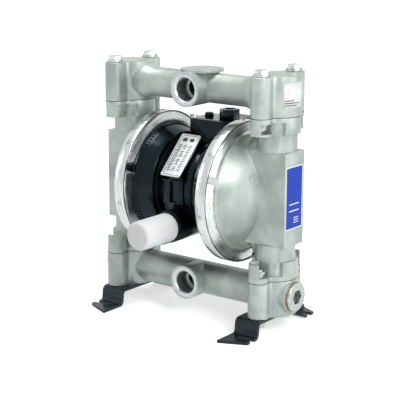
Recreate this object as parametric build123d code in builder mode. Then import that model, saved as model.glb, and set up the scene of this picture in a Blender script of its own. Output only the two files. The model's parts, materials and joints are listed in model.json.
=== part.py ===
from build123d import *
from math import cos, radians, sin, sqrt
import os

# Air operated double diaphragm pump, in millimetres.
# X runs along the diaphragm shaft, -Y is the side of the fluid ports and the
# exhaust muffler, and +Z is up. The origin is on the floor under the pump's middle.
# "Right" pieces are on the +X side and "left" pieces mirror them in the YZ plane.

os.makedirs("parts", exist_ok=True)

# ---- Driving dimensions: castings ----
column_x = 95.5  # centre of a fluid column from the middle of the pump
cover_height = 170.0  # fluid cover between its two manifold joints
inlet_block_height = 38.2
outlet_block_height = 41.5
inlet_pipe_drop = 18.3  # inlet pipe axis below the inlet joint
outlet_pipe_rise = 20.0  # outlet pipe axis above the outlet joint
block_radius = 24.0  # end block round the valve bore
boss_radius = 11.0  # end block round each bolt
bolt_y = 29.4  # bolt to the column centre
cast_edge = 1.2  # rounding of cast edges
inlet_pipe_radius = 17.5
outlet_pipe_radius = 16.0
inlet_flare_radius = 18.0  # pipe where it meets an end block
outlet_flare_radius = 19.5
flare_length = 12.0
port_boss_radius = 18.2
port_reach = 31.0  # port face in front of the column centres
port_tap_radius = 12.1  # 3/4 NPT, tap drill
port_mouth_radius = 13.6  # 3/4 NPT, crest at the face
port_thread_length = 20.0
passage_radius = 9.5  # ports and risers
pipe_bore_radius = 10.5
top_boss_radius = 23.0
top_boss_neck = 14.0
top_boss_thickness = 2.5
top_boss_rise = 19.4  # top of the boss above the outlet pipe axis
end_boss_radius = 17.7
end_boss_reach = 24.4  # machined end face beyond the column centre

# ---- Driving dimensions: ball checks ----
ball_radius = 12.5
ball_gap = 0.3  # ball off its seat
ball_rise = 6.5  # ball centre above the top of its seat
ball_lift = 8.0
ball_stop_gap = 0.4
cage_radius = 15.0
seat_radius = 16.0
seat_height = 5.0
seat_fit = 0.1
seal_radius = 18.2
seal_wire = 1.2

# ---- Driving dimensions: fluid cover ----
neck_radius = 21.0
upper_boss_height = 17.6
lower_boss_height = 20.0
nut_depth = 5.5  # casting between the joint and the nut
pocket_height = 10.0
pocket_fit = 0.25
dome_radius = 75.5
dome_wall = 5.5
dome_centre_x = 14.5
pad_reach = 22.0  # label pad face beyond the column centre
pad_half_width = 17.5
pad_half_height = 49.0
scoop_radius = 14.0
scoop_depth = 4.0
scoop_rise = 22.0
duct_radius = 8.5
duct_wall = 4.5

# ---- Driving dimensions: clamped rim ----
rim_x = 53.5  # middle plane of a diaphragm
rim_radius = 71.5
rim_root_radius = 62.0
rim_half_width = 5.0  # at the rim's edge
rim_taper = 0.284  # gain of half width for each millimetre inward
diaphragm_thickness = 3.2
retainer_sheet = 1.2
retainer_gap = 0.15
strap_radius = 75.0
strap_half_width = 6.0
strap_sheet = 1.2
segment_angle = 19.0  # first gap between retainer segments, from -Y towards +Z
segment_gap = 7.0
closure_angle = 139.0  # middle of the clamp's closure
closure_spread = 6.0  # degrees from the closure to each strap loop
loop_radius = 5.4
loop_bore = 4.2
clamp_bolt_radius = 2.4
clamp_nut_flats = 10.0
clamp_nut_height = 5.0

# ---- Driving dimensions: air section ----
housing_half_width = 24.2
housing_radius = 48.0
gasket_thickness = 0.8
cover_inner_radius = 54.0  # air cover where it meets the housing
cover_flange_x = 43.0
air_wall_x = 33.4  # wall of the air chamber
air_chamber_radius = 57.0
air_floor_radius = 46.0
shaft_radius = 8.0
running_fit = 0.05
hub_clearance = 0.4
bearing_radius = 11.0
bearing_length = 14.0
shaft_seal_radius = 12.5
shaft_seal_length = 6.0
plate_radius = 34.0
air_plate_thickness = 5.0
fluid_plate_thickness = 7.0
convolution_rise = 6.0
shaft_bolt_radius = 6.0
shaft_bolt_flats = 19.0
shaft_bolt_head = 8.0
shaft_bolt_grip = 10.0  # thread engaged in the shaft
bolt_fit = 0.1
stroke = 10.0
cover_screw_circle = 38.0
cover_screw_radius = 3.0
cover_screw_head = 4.0
cover_screw_sink = 3.0
cover_screw_grip = 12.0
pilot_y = 10.0
pilot_rise = 24.0
pilot_radius = 3.0
pilot_length = 17.0
pilot_bush_radius = 5.0
pilot_travel = 3.0
plate_touch_gap = 0.3  # pilot pin off the plate at the end of the stroke

# ---- Driving dimensions: air valve and fittings ----
valve_face_y = 50.0
block_front_y = 8.0
block_top = 68.0  # top of the valve block above the shaft
valve_depth = 26.0
valve_low = 12.0
valve_high = 66.0
spool_rise = 38.0
spool_y_offset = 15.0  # spool axis behind the valve gasket
spool_radius = 10.0
spool_half_length = 17.5
spool_stem = 4.5
spool_travel = 3.0
collar_radius = 7.0
collar_width = 2.5
carriage_half = 5.0
carriage_fit = 0.1
carriage_half_height = 7.0
cavity_half_width = 11.0
valve_plate_thickness = 2.0
end_cap_length = 3.2
exhaust_drop = 36.0
nozzle_radius = 17.0
nozzle_reach = 58.0
exhaust_bore = 9.0
muffler_radius = 15.2
muffler_length = 51.0
muffler_neck = 14.0
muffler_wall = 4.0
plate_width = 25.0
plate_length = 54.0
plate_sheet = 0.8
plate_offset = 52.6  # nameplate face from the shaft axis
plate_tilt = 45.0
front_pad_reach = 50.0
inlet_fitting_x = 14.0
fitting_y = 30.0
inlet_fitting_flats = 19.0
inlet_fitting_height = 11.0
air_tap_radius = 5.7  # 1/4 NPT, tap drill
fitting_shank_radius = 7.5
fitting_shank = 10.0
ground_screw_x = -13.0
ground_screw_head = 5.0

# ---- Driving dimensions: fasteners, plugs and feet ----
bolt_radius = 4.0
bolt_hole_radius = 4.3
bolt_flats = 13.0
bolt_head_height = 5.1
bolt_flange_radius = 8.2
bolt_flange_height = 1.3
washer_radius = 8.6
washer_thickness = 1.6
nut_height = 6.5
bolt_tail = 1.5
plug_radius = 15.5
plug_head = 3.3
plug_shank = 13.0
plug_flats = 14.0
plug_socket_depth = 9.0
plug_seal_thickness = 0.8
foot_rise = 15.7
foot_sheet = 3.2
foot_half_width = 14.4
foot_centre_x = 91.1
foot_bend_y = 43.0
foot_toe_inner = 75.4
foot_toe_outer = 62.7
foot_slot_y = 54.0
foot_slot_x = 90.0
foot_slot_width = 7.0

# ---- Levels and planes worked out from them ----
inlet_base_z = foot_rise + foot_sheet
inlet_joint_z = inlet_base_z + inlet_block_height
outlet_joint_z = inlet_joint_z + cover_height
shaft_z = inlet_joint_z + cover_height / 2
outlet_top_z = outlet_joint_z + outlet_block_height
inlet_pipe_z = inlet_joint_z - inlet_pipe_drop
outlet_pipe_z = outlet_joint_z + outlet_pipe_rise
cage_height = ball_rise + ball_lift + ball_radius + ball_stop_gap
diaphragm_in = rim_x - diaphragm_thickness / 2
diaphragm_out = rim_x + diaphragm_thickness / 2
air_plate_in = diaphragm_in - air_plate_thickness
fluid_plate_out = diaphragm_out + fluid_plate_thickness
air_cover_in = housing_half_width + gasket_thickness
pilot_tip_x = air_plate_in - stroke - plate_touch_gap
valve_gasket_back = valve_face_y + gasket_thickness
spool_y = valve_gasket_back + spool_y_offset
spool_z = shaft_z + spool_rise
block_top_z = shaft_z + block_top
exhaust_z = shaft_z - exhaust_drop
bolt_spots = [(sx * column_x, sy * bolt_y) for sx in (-1, 1) for sy in (-1, 1)]
right_bolts = [(column_x, -bolt_y), (column_x, bolt_y)]

shaft_axis = Axis((0, 0, shaft_z), (1, 0, 0))
ALONG_X = (0, 90, 0)
FORWARD = (90, 0, 0)


def lengthwise(z):
    """Plane through the pump at height z: local x is along the shaft, local y is up."""
    return Plane(origin=(0, 0, z), x_dir=(1, 0, 0), z_dir=(0, -1, 0))


def polygon(plane, *points):
    """Flat face from corner points on a plane."""
    with BuildSketch(plane) as face:
        with BuildLine():
            Polyline(*points, close=True)
        make_face()
    return face.sketch


def turning(*points):
    """Half section, as (x, radius) corners, for turning about the shaft."""
    return polygon(lengthwise(shaft_z), *points)


def domed(radius, start_x, *foot):
    """Half section bounded by a sphere about the dome centre, closed on the shaft axis."""
    start_r = sqrt(radius**2 - (start_x - dome_centre_x) ** 2)
    start_angle = acos_degrees((start_x - dome_centre_x) / radius)
    middle = radians(start_angle / 2)
    mid_point = (dome_centre_x + radius * cos(middle), radius * sin(middle))
    with BuildSketch(lengthwise(shaft_z)) as face:
        with BuildLine():
            Polyline((dome_centre_x + radius, 0), (diaphragm_out, 0), *foot, (start_x, start_r))
            ThreePointArc((start_x, start_r), mid_point, (dome_centre_x + radius, 0))
        make_face()
    return face.sketch


def acos_degrees(value):
    """Angle of a cosine, in degrees."""
    return Vector(value, sqrt(1 - value**2)).get_angle(Vector(1, 0))


def block_outline(z, centres):
    """Plan of end blocks: the valve bore's wall and two bolt bosses in one hull each."""
    with BuildSketch() as hull:
        Circle(block_radius)
        with Locations((0, bolt_y), (0, -bolt_y)):
            Circle(boss_radius)
        make_hull()
    with BuildSketch(Plane.XY.offset(z)) as outline:
        with Locations(*[(x, 0) for x in centres]):
            add(hull.sketch)
    return outline.sketch


def rim_half(radius):
    """Half width of the clamped rim at a radius."""
    return rim_half_width + (rim_radius - radius) * rim_taper


def on_rim(angle, radius, x=rim_x):
    """Point beside the shaft, at an angle from -Y towards +Z."""
    turn = radians(angle)
    return (x, -radius * cos(turn), shaft_z + radius * sin(turn))


def pipe_section(z, radius, flare_radius):
    """Half section of a manifold pipe that widens to its two end blocks."""
    wide = column_x - block_radius
    narrow = wide - flare_length
    points = [(-column_x, 0), (-column_x, flare_radius), (-wide, flare_radius), (-narrow, radius)]
    points += [(-x, r) for x, r in reversed(points)]
    return polygon(lengthwise(z), *points)


def seat_ring(z):
    """Valve seat with its top at height z, ground to the ball."""
    with BuildPart() as seat:
        with BuildSketch(Plane.XY.offset(z - seat_height)):
            Circle(seat_radius)
            Circle(passage_radius, mode=Mode.SUBTRACT)
        extrude(amount=seat_height)
        with Locations((0, 0, z + ball_rise)):
            Sphere(ball_radius + ball_gap, mode=Mode.SUBTRACT)
    return seat.part


def hex_prism(plane, flats, height):
    """Hexagonal solid on a plane."""
    with BuildPart() as prism:
        with BuildSketch(plane):
            RegularPolygon(flats / 2, 6, major_radius=False, rotation=30)
        extrude(amount=height)
    return prism.part


# ---- Manifolds ----
with BuildPart() as outlet_manifold:
    extrude(block_outline(outlet_joint_z, (-column_x, column_x)), amount=outlet_block_height)
    fillet(outlet_manifold.faces().group_by(Axis.Z)[-1].edges(), cast_edge)
    pipe_axis = Axis((0, 0, outlet_pipe_z), (1, 0, 0))
    revolve(pipe_section(outlet_pipe_z, outlet_pipe_radius, outlet_flare_radius), axis=pipe_axis)
    with Locations(Location((0, -port_reach / 2, outlet_pipe_z), FORWARD)):
        Cylinder(port_boss_radius, port_reach)
    port_face = outlet_manifold.faces().sort_by(Axis.Y)[0]
    boss_top_z = outlet_pipe_z + top_boss_rise
    disc_z = boss_top_z - top_boss_thickness
    cone_height = top_boss_radius - top_boss_neck
    with BuildSketch(Plane.XY.offset(disc_z)):
        Circle(top_boss_radius)
    extrude(amount=top_boss_thickness)
    with Locations((0, 0, disc_z - cone_height / 4)):
        Cone(top_boss_neck, top_boss_radius - 2 * cast_edge, cone_height / 2)
    with Locations((0, 0, outlet_pipe_z)):
        Cylinder(top_boss_neck, disc_z - outlet_pipe_z, align=(Align.CENTER, Align.CENTER, Align.MIN))
    # ball cages, crossing passage, threaded port and bolt holes
    with BuildSketch(Plane.XY.offset(outlet_joint_z)):
        with Locations((-column_x, 0), (column_x, 0)):
            Circle(cage_radius)
    extrude(amount=cage_height, mode=Mode.SUBTRACT)
    with Locations(Location((0, 0, outlet_pipe_z), ALONG_X)):
        Cylinder(pipe_bore_radius, 2 * column_x, mode=Mode.SUBTRACT)
    with Locations(Location((0, -port_reach / 2, outlet_pipe_z), FORWARD)):
        Cylinder(passage_radius, port_reach, mode=Mode.SUBTRACT)
    thread_middle = port_reach - port_thread_length / 2
    with Locations(Location((0, -thread_middle, outlet_pipe_z), FORWARD)):
        Cylinder(port_tap_radius, port_thread_length, mode=Mode.SUBTRACT)
    mouth_depth = port_mouth_radius - port_tap_radius
    with Locations(Location((0, -port_reach + mouth_depth / 2, outlet_pipe_z), FORWARD)):
        Cone(port_tap_radius, port_mouth_radius, mouth_depth, mode=Mode.SUBTRACT)
    with BuildSketch(Plane.XY.offset(outlet_joint_z)):
        with Locations(*bolt_spots):
            Circle(bolt_hole_radius)
    extrude(amount=outlet_block_height, mode=Mode.SUBTRACT)

with BuildPart() as inlet_manifold:
    extrude(block_outline(inlet_base_z, (-column_x, column_x)), amount=inlet_block_height)
    fillet(inlet_manifold.faces().group_by(Axis.Z)[0].edges(), cast_edge)
    pipe_axis = Axis((0, 0, inlet_pipe_z), (1, 0, 0))
    revolve(pipe_section(inlet_pipe_z, inlet_pipe_radius, inlet_flare_radius), axis=pipe_axis)
    with Locations(Location((0, 0, inlet_pipe_z), ALONG_X)):
        Cylinder(end_boss_radius, 2 * (column_x + end_boss_reach))
    with Locations(Location((0, -port_reach / 2, inlet_pipe_z), FORWARD)):
        Cylinder(port_boss_radius, port_reach)
    # passages: pipe with a threaded port at each end, front port, risers to the seats
    with Locations(Location((0, 0, inlet_pipe_z), ALONG_X)):
        Cylinder(pipe_bore_radius, 2 * column_x, mode=Mode.SUBTRACT)
    for side in (-1, 1):
        end_middle = side * (column_x + end_boss_reach - port_thread_length / 2)
        with Locations(Location((end_middle, 0, inlet_pipe_z), ALONG_X)):
            Cylinder(port_tap_radius, port_thread_length, mode=Mode.SUBTRACT)
    with Locations(Location((0, -port_reach / 2, inlet_pipe_z), FORWARD)):
        Cylinder(passage_radius, port_reach, mode=Mode.SUBTRACT)
    with Locations(Location((0, -thread_middle, inlet_pipe_z), FORWARD)):
        Cylinder(port_tap_radius, port_thread_length, mode=Mode.SUBTRACT)
    with Locations(Location((0, -port_reach + mouth_depth / 2, inlet_pipe_z), FORWARD)):
        Cone(port_tap_radius, port_mouth_radius, mouth_depth, mode=Mode.SUBTRACT)
    with BuildSketch(Plane.XY.offset(inlet_pipe_z)):
        with Locations((-column_x, 0), (column_x, 0)):
            Circle(passage_radius)
    extrude(amount=inlet_pipe_drop, mode=Mode.SUBTRACT)
    with BuildSketch(Plane.XY.offset(inlet_joint_z)):
        with Locations((-column_x, 0), (column_x, 0)):
            Circle(seat_radius + seat_fit)
    extrude(amount=-seat_height, mode=Mode.SUBTRACT)
    with BuildSketch(Plane.XY.offset(inlet_joint_z)):
        with Locations((-column_x, 0), (column_x, 0)):
            Circle(seal_radius + seal_wire)
            Circle(seal_radius - seal_wire, mode=Mode.SUBTRACT)
    extrude(amount=-2 * seal_wire, mode=Mode.SUBTRACT)
    with BuildSketch(Plane.XY.offset(inlet_base_z)):
        with Locations(*bolt_spots):
            Circle(bolt_hole_radius)
    extrude(amount=inlet_block_height, mode=Mode.SUBTRACT)

# ---- Fluid covers ----
duct_start = Vector(column_x, 0, cover_height / 2 - seat_height - duct_radius - duct_wall)
duct_end = Vector(dome_centre_x + dome_radius * 2 / 3, 0, dome_radius / 2)
duct_path = duct_end - duct_start
duct_spots = []
for rise in (1, -1):
    half_way = (duct_start + duct_end) / 2
    middle = (half_way.X, 0, shaft_z + rise * half_way.Z)
    duct_spots.append(Plane(origin=middle, z_dir=(duct_path.X, 0, rise * duct_path.Z)))

with BuildPart() as fluid_cover_right:
    rim_foot = (diaphragm_out, rim_radius), (rim_x + rim_half_width, rim_radius)
    rim_root = (rim_x + rim_half(rim_root_radius), rim_root_radius)
    revolve(domed(dome_radius, rim_root[0] + cast_edge, *rim_foot, rim_root), axis=shaft_axis)
    neck_height = cover_height / 2 - pad_half_height
    for joint_z, way in ((inlet_joint_z, 1), (outlet_joint_z, -1)):
        with BuildSketch(Plane.XY.offset(joint_z)):
            with Locations((column_x, 0)):
                Circle(neck_radius)
        extrude(amount=way * neck_height)
    extrude(block_outline(inlet_joint_z, (column_x,)), amount=lower_boss_height)
    extrude(block_outline(outlet_joint_z, (column_x,)), amount=-upper_boss_height)
    web_length = column_x + pad_reach - diaphragm_out
    with Locations((diaphragm_out + web_length / 2, 0, shaft_z)):
        Box(web_length, 2 * pad_half_width, 2 * pad_half_height)
    with Locations(*duct_spots):
        Cylinder(duct_radius + duct_wall, duct_path.length)
    # scooped flanks between the dome and the label pad
    scoop_y = pad_half_width + scoop_radius - scoop_depth
    with Locations(*[(column_x, flank * scoop_y, shaft_z + scoop_rise) for flank in (-1, 1)]):
        Sphere(scoop_radius, mode=Mode.SUBTRACT)
    # fluid chamber, ball cage, ducts and the riser to the outlet seat
    chamber_radius = dome_radius - dome_wall
    chamber_edge = sqrt(chamber_radius**2 - (diaphragm_out - dome_centre_x) ** 2)
    revolve(domed(chamber_radius, diaphragm_out, (diaphragm_out, chamber_edge / 2)),
            axis=shaft_axis, mode=Mode.SUBTRACT)
    with BuildSketch(Plane.XY.offset(inlet_joint_z)):
        with Locations((column_x, 0)):
            Circle(cage_radius)
    extrude(amount=cage_height, mode=Mode.SUBTRACT)
    with Locations(*duct_spots):
        Cylinder(duct_radius, duct_path.length, mode=Mode.SUBTRACT)
    riser_height = cover_height / 2 - duct_start.Z + duct_radius
    with BuildSketch(Plane.XY.offset(outlet_joint_z)):
        with Locations((column_x, 0)):
            Circle(passage_radius)
    extrude(amount=-riser_height, mode=Mode.SUBTRACT)
    with BuildSketch(Plane.XY.offset(outlet_joint_z)):
        with Locations((column_x, 0)):
            Circle(seat_radius + seat_fit)
    extrude(amount=-seat_height, mode=Mode.SUBTRACT)
    with BuildSketch(Plane.XY.offset(outlet_joint_z)):
        with Locations((column_x, 0)):
            Circle(seal_radius + seal_wire)
            Circle(seal_radius - seal_wire, mode=Mode.SUBTRACT)
    extrude(amount=-2 * seal_wire, mode=Mode.SUBTRACT)
    # bolt holes and the nut pockets that open to the front and the back
    for joint_z, way, boss_height in ((inlet_joint_z, 1, lower_boss_height), (outlet_joint_z, -1, upper_boss_height)):
        with BuildSketch(Plane.XY.offset(joint_z)):
            with Locations(*right_bolts):
                Circle(bolt_hole_radius)
        extrude(amount=way * boss_height, mode=Mode.SUBTRACT)
        pocket_z = joint_z + way * (nut_depth + pocket_height / 2)
        nut_corner = bolt_flats / sqrt(3) + pocket_fit
        pocket_reach = boss_radius + nut_corner + pocket_fit
        for flank in (-1, 1):
            pocket_y = flank * (bolt_y - nut_corner + pocket_reach / 2)
            with Locations((column_x, pocket_y, pocket_z)):
                Box(bolt_flats + 2 * pocket_fit, pocket_reach, pocket_height, mode=Mode.SUBTRACT)

with BuildPart() as fluid_cover_left:
    mirror(fluid_cover_right.part, about=Plane.YZ)

# ---- Ball checks ----
ball_z = {"inlet": inlet_joint_z + ball_rise, "outlet": outlet_joint_z + ball_rise}
seat_z = {"inlet": inlet_joint_z, "outlet": outlet_joint_z}
valve_pieces = {}
for level in ("inlet", "outlet"):
    for side_name, side in (("left", -1), ("right", 1)):
        with BuildPart() as seat:
            with Locations((side * column_x, 0, 0)):
                add(seat_ring(seat_z[level]))
        valve_pieces[f"{level}_seat_{side_name}"] = seat
        with BuildPart() as ball:
            with Locations((side * column_x, 0, ball_z[level])):
                Sphere(ball_radius)
        valve_pieces[f"{level}_ball_{side_name}"] = ball

with BuildPart() as seat_o_rings:
    for x in (-column_x, column_x):
        with Locations(*[(x, 0, z - seal_wire) for z in seat_z.values()]):
            Torus(seal_radius, seal_wire)

# ---- Centre housing and air covers ----
with BuildPart() as centre_housing:
    with Locations(Location((0, 0, shaft_z), ALONG_X)):
        Cylinder(housing_radius, 2 * housing_half_width)
    block_depth = valve_face_y - block_front_y
    with BuildSketch(Plane.XY.offset(shaft_z)):
        with Locations((0, block_front_y + block_depth / 2)):
            RectangleRounded(2 * housing_half_width, block_depth, 3 * cast_edge)
    extrude(amount=block_top)
    nozzle_middle = nozzle_reach - housing_radius / 2
    with Locations(Location((0, -nozzle_middle, exhaust_z), FORWARD)):
        Cylinder(nozzle_radius, 2 * (nozzle_reach - nozzle_middle))
    # flat pad under the nameplate, and the slotted pad below it
    tilt = radians(plate_tilt)
    plate_normal = (0, -cos(tilt), sin(tilt))
    pad_depth = plate_offset - plate_sheet - housing_radius / 2
    pad_middle = plate_offset - plate_sheet - pad_depth / 2
    pad_plane = Plane(
        origin=(0, -pad_middle * cos(tilt), shaft_z + pad_middle * sin(tilt)),
        x_dir=(1, 0, 0), z_dir=plate_normal)
    with Locations(pad_plane):
        Box(plate_width + 2 * cast_edge, plate_length - 2 * cast_edge, pad_depth)
    front_pad_depth = front_pad_reach - housing_radius / 2
    with Locations((0, -front_pad_reach + front_pad_depth / 2, shaft_z)):
        Box(plate_width, front_pad_depth, plate_width)
    with Locations((0, -front_pad_reach, shaft_z)):
        Box(passage_radius, 2 * foot_sheet, plate_width - 2 * cast_edge, mode=Mode.SUBTRACT)
    # shaft bore, bearing seats and cover screw holes
    with Locations(Location((0, 0, shaft_z), ALONG_X)):
        Cylinder(shaft_radius + hub_clearance, 2 * housing_half_width, mode=Mode.SUBTRACT)
    for side in (-1, 1):
        bearing_middle = side * (housing_half_width - bearing_length / 2)
        with Locations(Location((bearing_middle, 0, shaft_z), ALONG_X)):
            Cylinder(bearing_radius, bearing_length, mode=Mode.SUBTRACT)
        face = Plane(origin=(side * housing_half_width, 0, shaft_z), x_dir=(0, 1, 0), z_dir=(side, 0, 0))
        with BuildSketch(face):
            with PolarLocations(cover_screw_circle, 6):
                Circle(cover_screw_radius + bolt_fit)
        extrude(amount=-(cover_screw_grip + bolt_fit), mode=Mode.SUBTRACT)
        pilot_depth = housing_half_width - (pilot_tip_x - pilot_length - pilot_travel - bolt_fit)
        with BuildSketch(Plane(origin=face.origin, x_dir=(0, 1, 0), z_dir=(1, 0, 0))):
            with Locations((pilot_y, pilot_rise)):
                Circle(pilot_radius + hub_clearance)
        extrude(amount=-side * pilot_depth, mode=Mode.SUBTRACT)
    # exhaust way from the valve face down to the nozzle
    exhaust_back = fitting_y + passage_radius / 2
    exhaust_length = nozzle_reach + exhaust_back
    with Locations(Location((0, exhaust_back - exhaust_length / 2, exhaust_z), FORWARD)):
        Cylinder(exhaust_bore, exhaust_length, mode=Mode.SUBTRACT)
    with BuildSketch(Plane.XY.offset(exhaust_z)):
        with Locations((0, fitting_y)):
            Circle(passage_radius / 2)
    extrude(amount=spool_rise + exhaust_drop, mode=Mode.SUBTRACT)
    with Locations(Location((0, (fitting_y + valve_face_y) / 2, spool_z), FORWARD)):
        Cylinder(passage_radius / 2, valve_face_y - fitting_y, mode=Mode.SUBTRACT)
    # air way from the inlet fitting into the valve chest
    with BuildSketch(Plane.XY.offset(block_top_z)):
        with Locations((inlet_fitting_x, fitting_y)):
            Circle(fitting_shank_radius + bolt_fit)
    extrude(amount=-(block_top - spool_rise), mode=Mode.SUBTRACT)
    feed_x = cavity_half_width - passage_radius / 4
    with Locations(Location((feed_x, (fitting_y + valve_face_y) / 2, spool_z), FORWARD)):
        Cylinder(passage_radius / 4, valve_face_y - fitting_y, mode=Mode.SUBTRACT)

with BuildPart() as air_cover_right:
    hub_bore = shaft_radius + hub_clearance
    revolve(
        turning(
            (air_cover_in, hub_bore),
            (air_cover_in, cover_inner_radius),
            (cover_flange_x, rim_root_radius),
            (rim_x - rim_half(rim_root_radius), rim_root_radius),
            (rim_x - rim_half_width, rim_radius),
            (diaphragm_in, rim_radius),
            (diaphragm_in, air_chamber_radius),
            (cover_flange_x, air_chamber_radius - cast_edge),
            (air_wall_x, air_floor_radius),
            (air_wall_x, hub_bore),
        ),
        axis=shaft_axis,
    )
    seal_middle = air_cover_in + shaft_seal_length / 2
    with Locations(Location((seal_middle, 0, shaft_z), ALONG_X)):
        Cylinder(shaft_seal_radius, shaft_seal_length, mode=Mode.SUBTRACT)
    with BuildSketch(Plane(origin=(air_cover_in, 0, shaft_z), x_dir=(0, 1, 0), z_dir=(1, 0, 0))):
        with PolarLocations(cover_screw_circle, 6):
            Circle(cover_screw_radius + bolt_fit)
        with Locations((pilot_y, pilot_rise)):
            Circle(pilot_bush_radius)
    extrude(amount=air_wall_x - air_cover_in, mode=Mode.SUBTRACT)
    with BuildSketch(Plane(origin=(air_wall_x, 0, shaft_z), x_dir=(0, 1, 0), z_dir=(1, 0, 0))):
        with PolarLocations(cover_screw_circle, 6):
            Circle(2 * cover_screw_radius)
    extrude(amount=-cover_screw_sink, mode=Mode.SUBTRACT)

with BuildPart() as air_cover_left:
    mirror(air_cover_right.part, about=Plane.YZ)

with BuildPart() as air_cover_gasket_right:
    with BuildSketch(Plane(origin=(housing_half_width, 0, shaft_z), x_dir=(0, 1, 0), z_dir=(1, 0, 0))):
        Circle(housing_radius)
        Circle(pilot_rise + 2 * pilot_bush_radius, mode=Mode.SUBTRACT)
        with PolarLocations(cover_screw_circle, 6):
            Circle(cover_screw_radius + bolt_fit, mode=Mode.SUBTRACT)
    extrude(amount=gasket_thickness)

with BuildPart() as air_cover_gasket_left:
    mirror(air_cover_gasket_right.part, about=Plane.YZ)

with BuildPart() as air_cover_screws:
    screw_head_x = air_wall_x - cover_screw_sink
    screw_tip_x = housing_half_width - cover_screw_grip
    for side in (-1, 1):
        seat_plane = Plane(origin=(side * screw_head_x, 0, shaft_z), x_dir=(0, 1, 0), z_dir=(side, 0, 0))
        with BuildSketch(seat_plane):
            with PolarLocations(cover_screw_circle, 6):
                Circle(2 * cover_screw_radius - bolt_fit)
        extrude(amount=cover_screw_head)
        with BuildSketch(seat_plane):
            with PolarLocations(cover_screw_circle, 6):
                Circle(cover_screw_radius)
        extrude(amount=-(screw_head_x - screw_tip_x))
        with BuildSketch(seat_plane.offset(cover_screw_head)):
            with PolarLocations(cover_screw_circle, 6):
                RegularPolygon(cover_screw_radius - cast_edge / 2, 6)
        extrude(amount=-cover_screw_head / 2, mode=Mode.SUBTRACT)

# ---- Shaft group ----
with BuildPart() as shaft:
    with Locations(Location((0, 0, shaft_z), ALONG_X)):
        Cylinder(shaft_radius, 2 * air_plate_in)
    bore_depth = shaft_bolt_grip + bolt_fit
    for side in (-1, 1):
        with Locations(Location((side * (air_plate_in - bore_depth / 2), 0, shaft_z), ALONG_X)):
            Cylinder(shaft_bolt_radius, bore_depth, mode=Mode.SUBTRACT)

with BuildPart() as shaft_bearings:
    for side in (-1, 1):
        bearing_middle = side * (housing_half_width - bearing_length / 2)
        with Locations(Location((bearing_middle, 0, shaft_z), ALONG_X)):
            Cylinder(bearing_radius, bearing_length)
            Cylinder(shaft_radius + running_fit, bearing_length, mode=Mode.SUBTRACT)

with BuildPart() as shaft_seals:
    for side in (-1, 1):
        with Locations(Location((side * seal_middle, 0, shaft_z), ALONG_X)):
            Cylinder(shaft_seal_radius, shaft_seal_length)
            Cylinder(shaft_radius + running_fit, shaft_seal_length, mode=Mode.SUBTRACT)

with BuildPart() as air_plate_right:
    plate_hole = shaft_bolt_radius + bolt_fit
    revolve(
        turning(
            (air_plate_in, plate_hole),
            (air_plate_in, plate_radius / 2),
            (diaphragm_in - air_plate_thickness / 2, plate_radius - cast_edge),
            (diaphragm_in - air_plate_thickness / 2 + cast_edge, plate_radius),
            (diaphragm_in, plate_radius),
            (diaphragm_in, plate_hole),
        ),
        axis=shaft_axis,
    )

with BuildPart() as fluid_plate_right:
    revolve(
        turning(
            (diaphragm_out, plate_hole),
            (diaphragm_out, plate_radius),
            (diaphragm_out + fluid_plate_thickness / 3, plate_radius),
            (fluid_plate_out, plate_radius * 2 / 3),
            (fluid_plate_out, plate_hole),
        ),
        axis=shaft_axis,
    )

with BuildPart() as diaphragm_right:
    wave_middle = (plate_radius + air_chamber_radius) / 2
    wave_half = (air_chamber_radius - plate_radius) / 2 - bolt_fit
    inner_half = wave_half - cast_edge
    with BuildSketch(lengthwise(shaft_z)):
        with BuildLine():
            Line((diaphragm_in, plate_hole), (diaphragm_out, plate_hole))
            Line((diaphragm_out, plate_hole), (diaphragm_out, wave_middle - wave_half))
            ThreePointArc(
                (diaphragm_out, wave_middle - wave_half),
                (diaphragm_out + convolution_rise, wave_middle),
                (diaphragm_out, wave_middle + wave_half),
            )
            Polyline(
                (diaphragm_out, wave_middle + wave_half),
                (diaphragm_out, rim_radius),
                (diaphragm_in, rim_radius),
                (diaphragm_in, wave_middle + inner_half),
            )
            ThreePointArc(
                (diaphragm_in, wave_middle + inner_half),
                (diaphragm_in + convolution_rise, wave_middle),
                (diaphragm_in, wave_middle - inner_half),
            )
            Line((diaphragm_in, wave_middle - inner_half), (diaphragm_in, plate_hole))
        make_face()
    revolve(axis=shaft_axis)

with BuildPart() as shaft_bolt_right:
    with Locations(Location((fluid_plate_out, 0, shaft_z), ALONG_X)):
        add(hex_prism(Plane.XY, shaft_bolt_flats, shaft_bolt_head))
    bolt_length = fluid_plate_out - air_plate_in + shaft_bolt_grip
    with Locations(Location((fluid_plate_out - bolt_length / 2, 0, shaft_z), ALONG_X)):
        Cylinder(shaft_bolt_radius, bolt_length)

with BuildPart() as pilot_pin_right:
    pilot_z = shaft_z + pilot_rise
    with Locations(Location((pilot_tip_x - pilot_length / 2, pilot_y, pilot_z), ALONG_X)):
        Cylinder(pilot_radius, pilot_length)
    fillet(pilot_pin_right.faces().sort_by(Axis.X)[-1].edges(), cast_edge)

with BuildPart() as pilot_bushes:
    bush_length = air_wall_x - air_cover_in
    for side in (-1, 1):
        with Locations(Location((side * (air_cover_in + bush_length / 2), pilot_y, pilot_z), ALONG_X)):
            Cylinder(pilot_bush_radius, bush_length)
            Cylinder(pilot_radius + running_fit, bush_length, mode=Mode.SUBTRACT)

mirrored_pairs = {
    "air_plate": air_plate_right,
    "fluid_plate": fluid_plate_right,
    "diaphragm": diaphragm_right,
    "shaft_bolt": shaft_bolt_right,
    "pilot_pin": pilot_pin_right,
}

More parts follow.
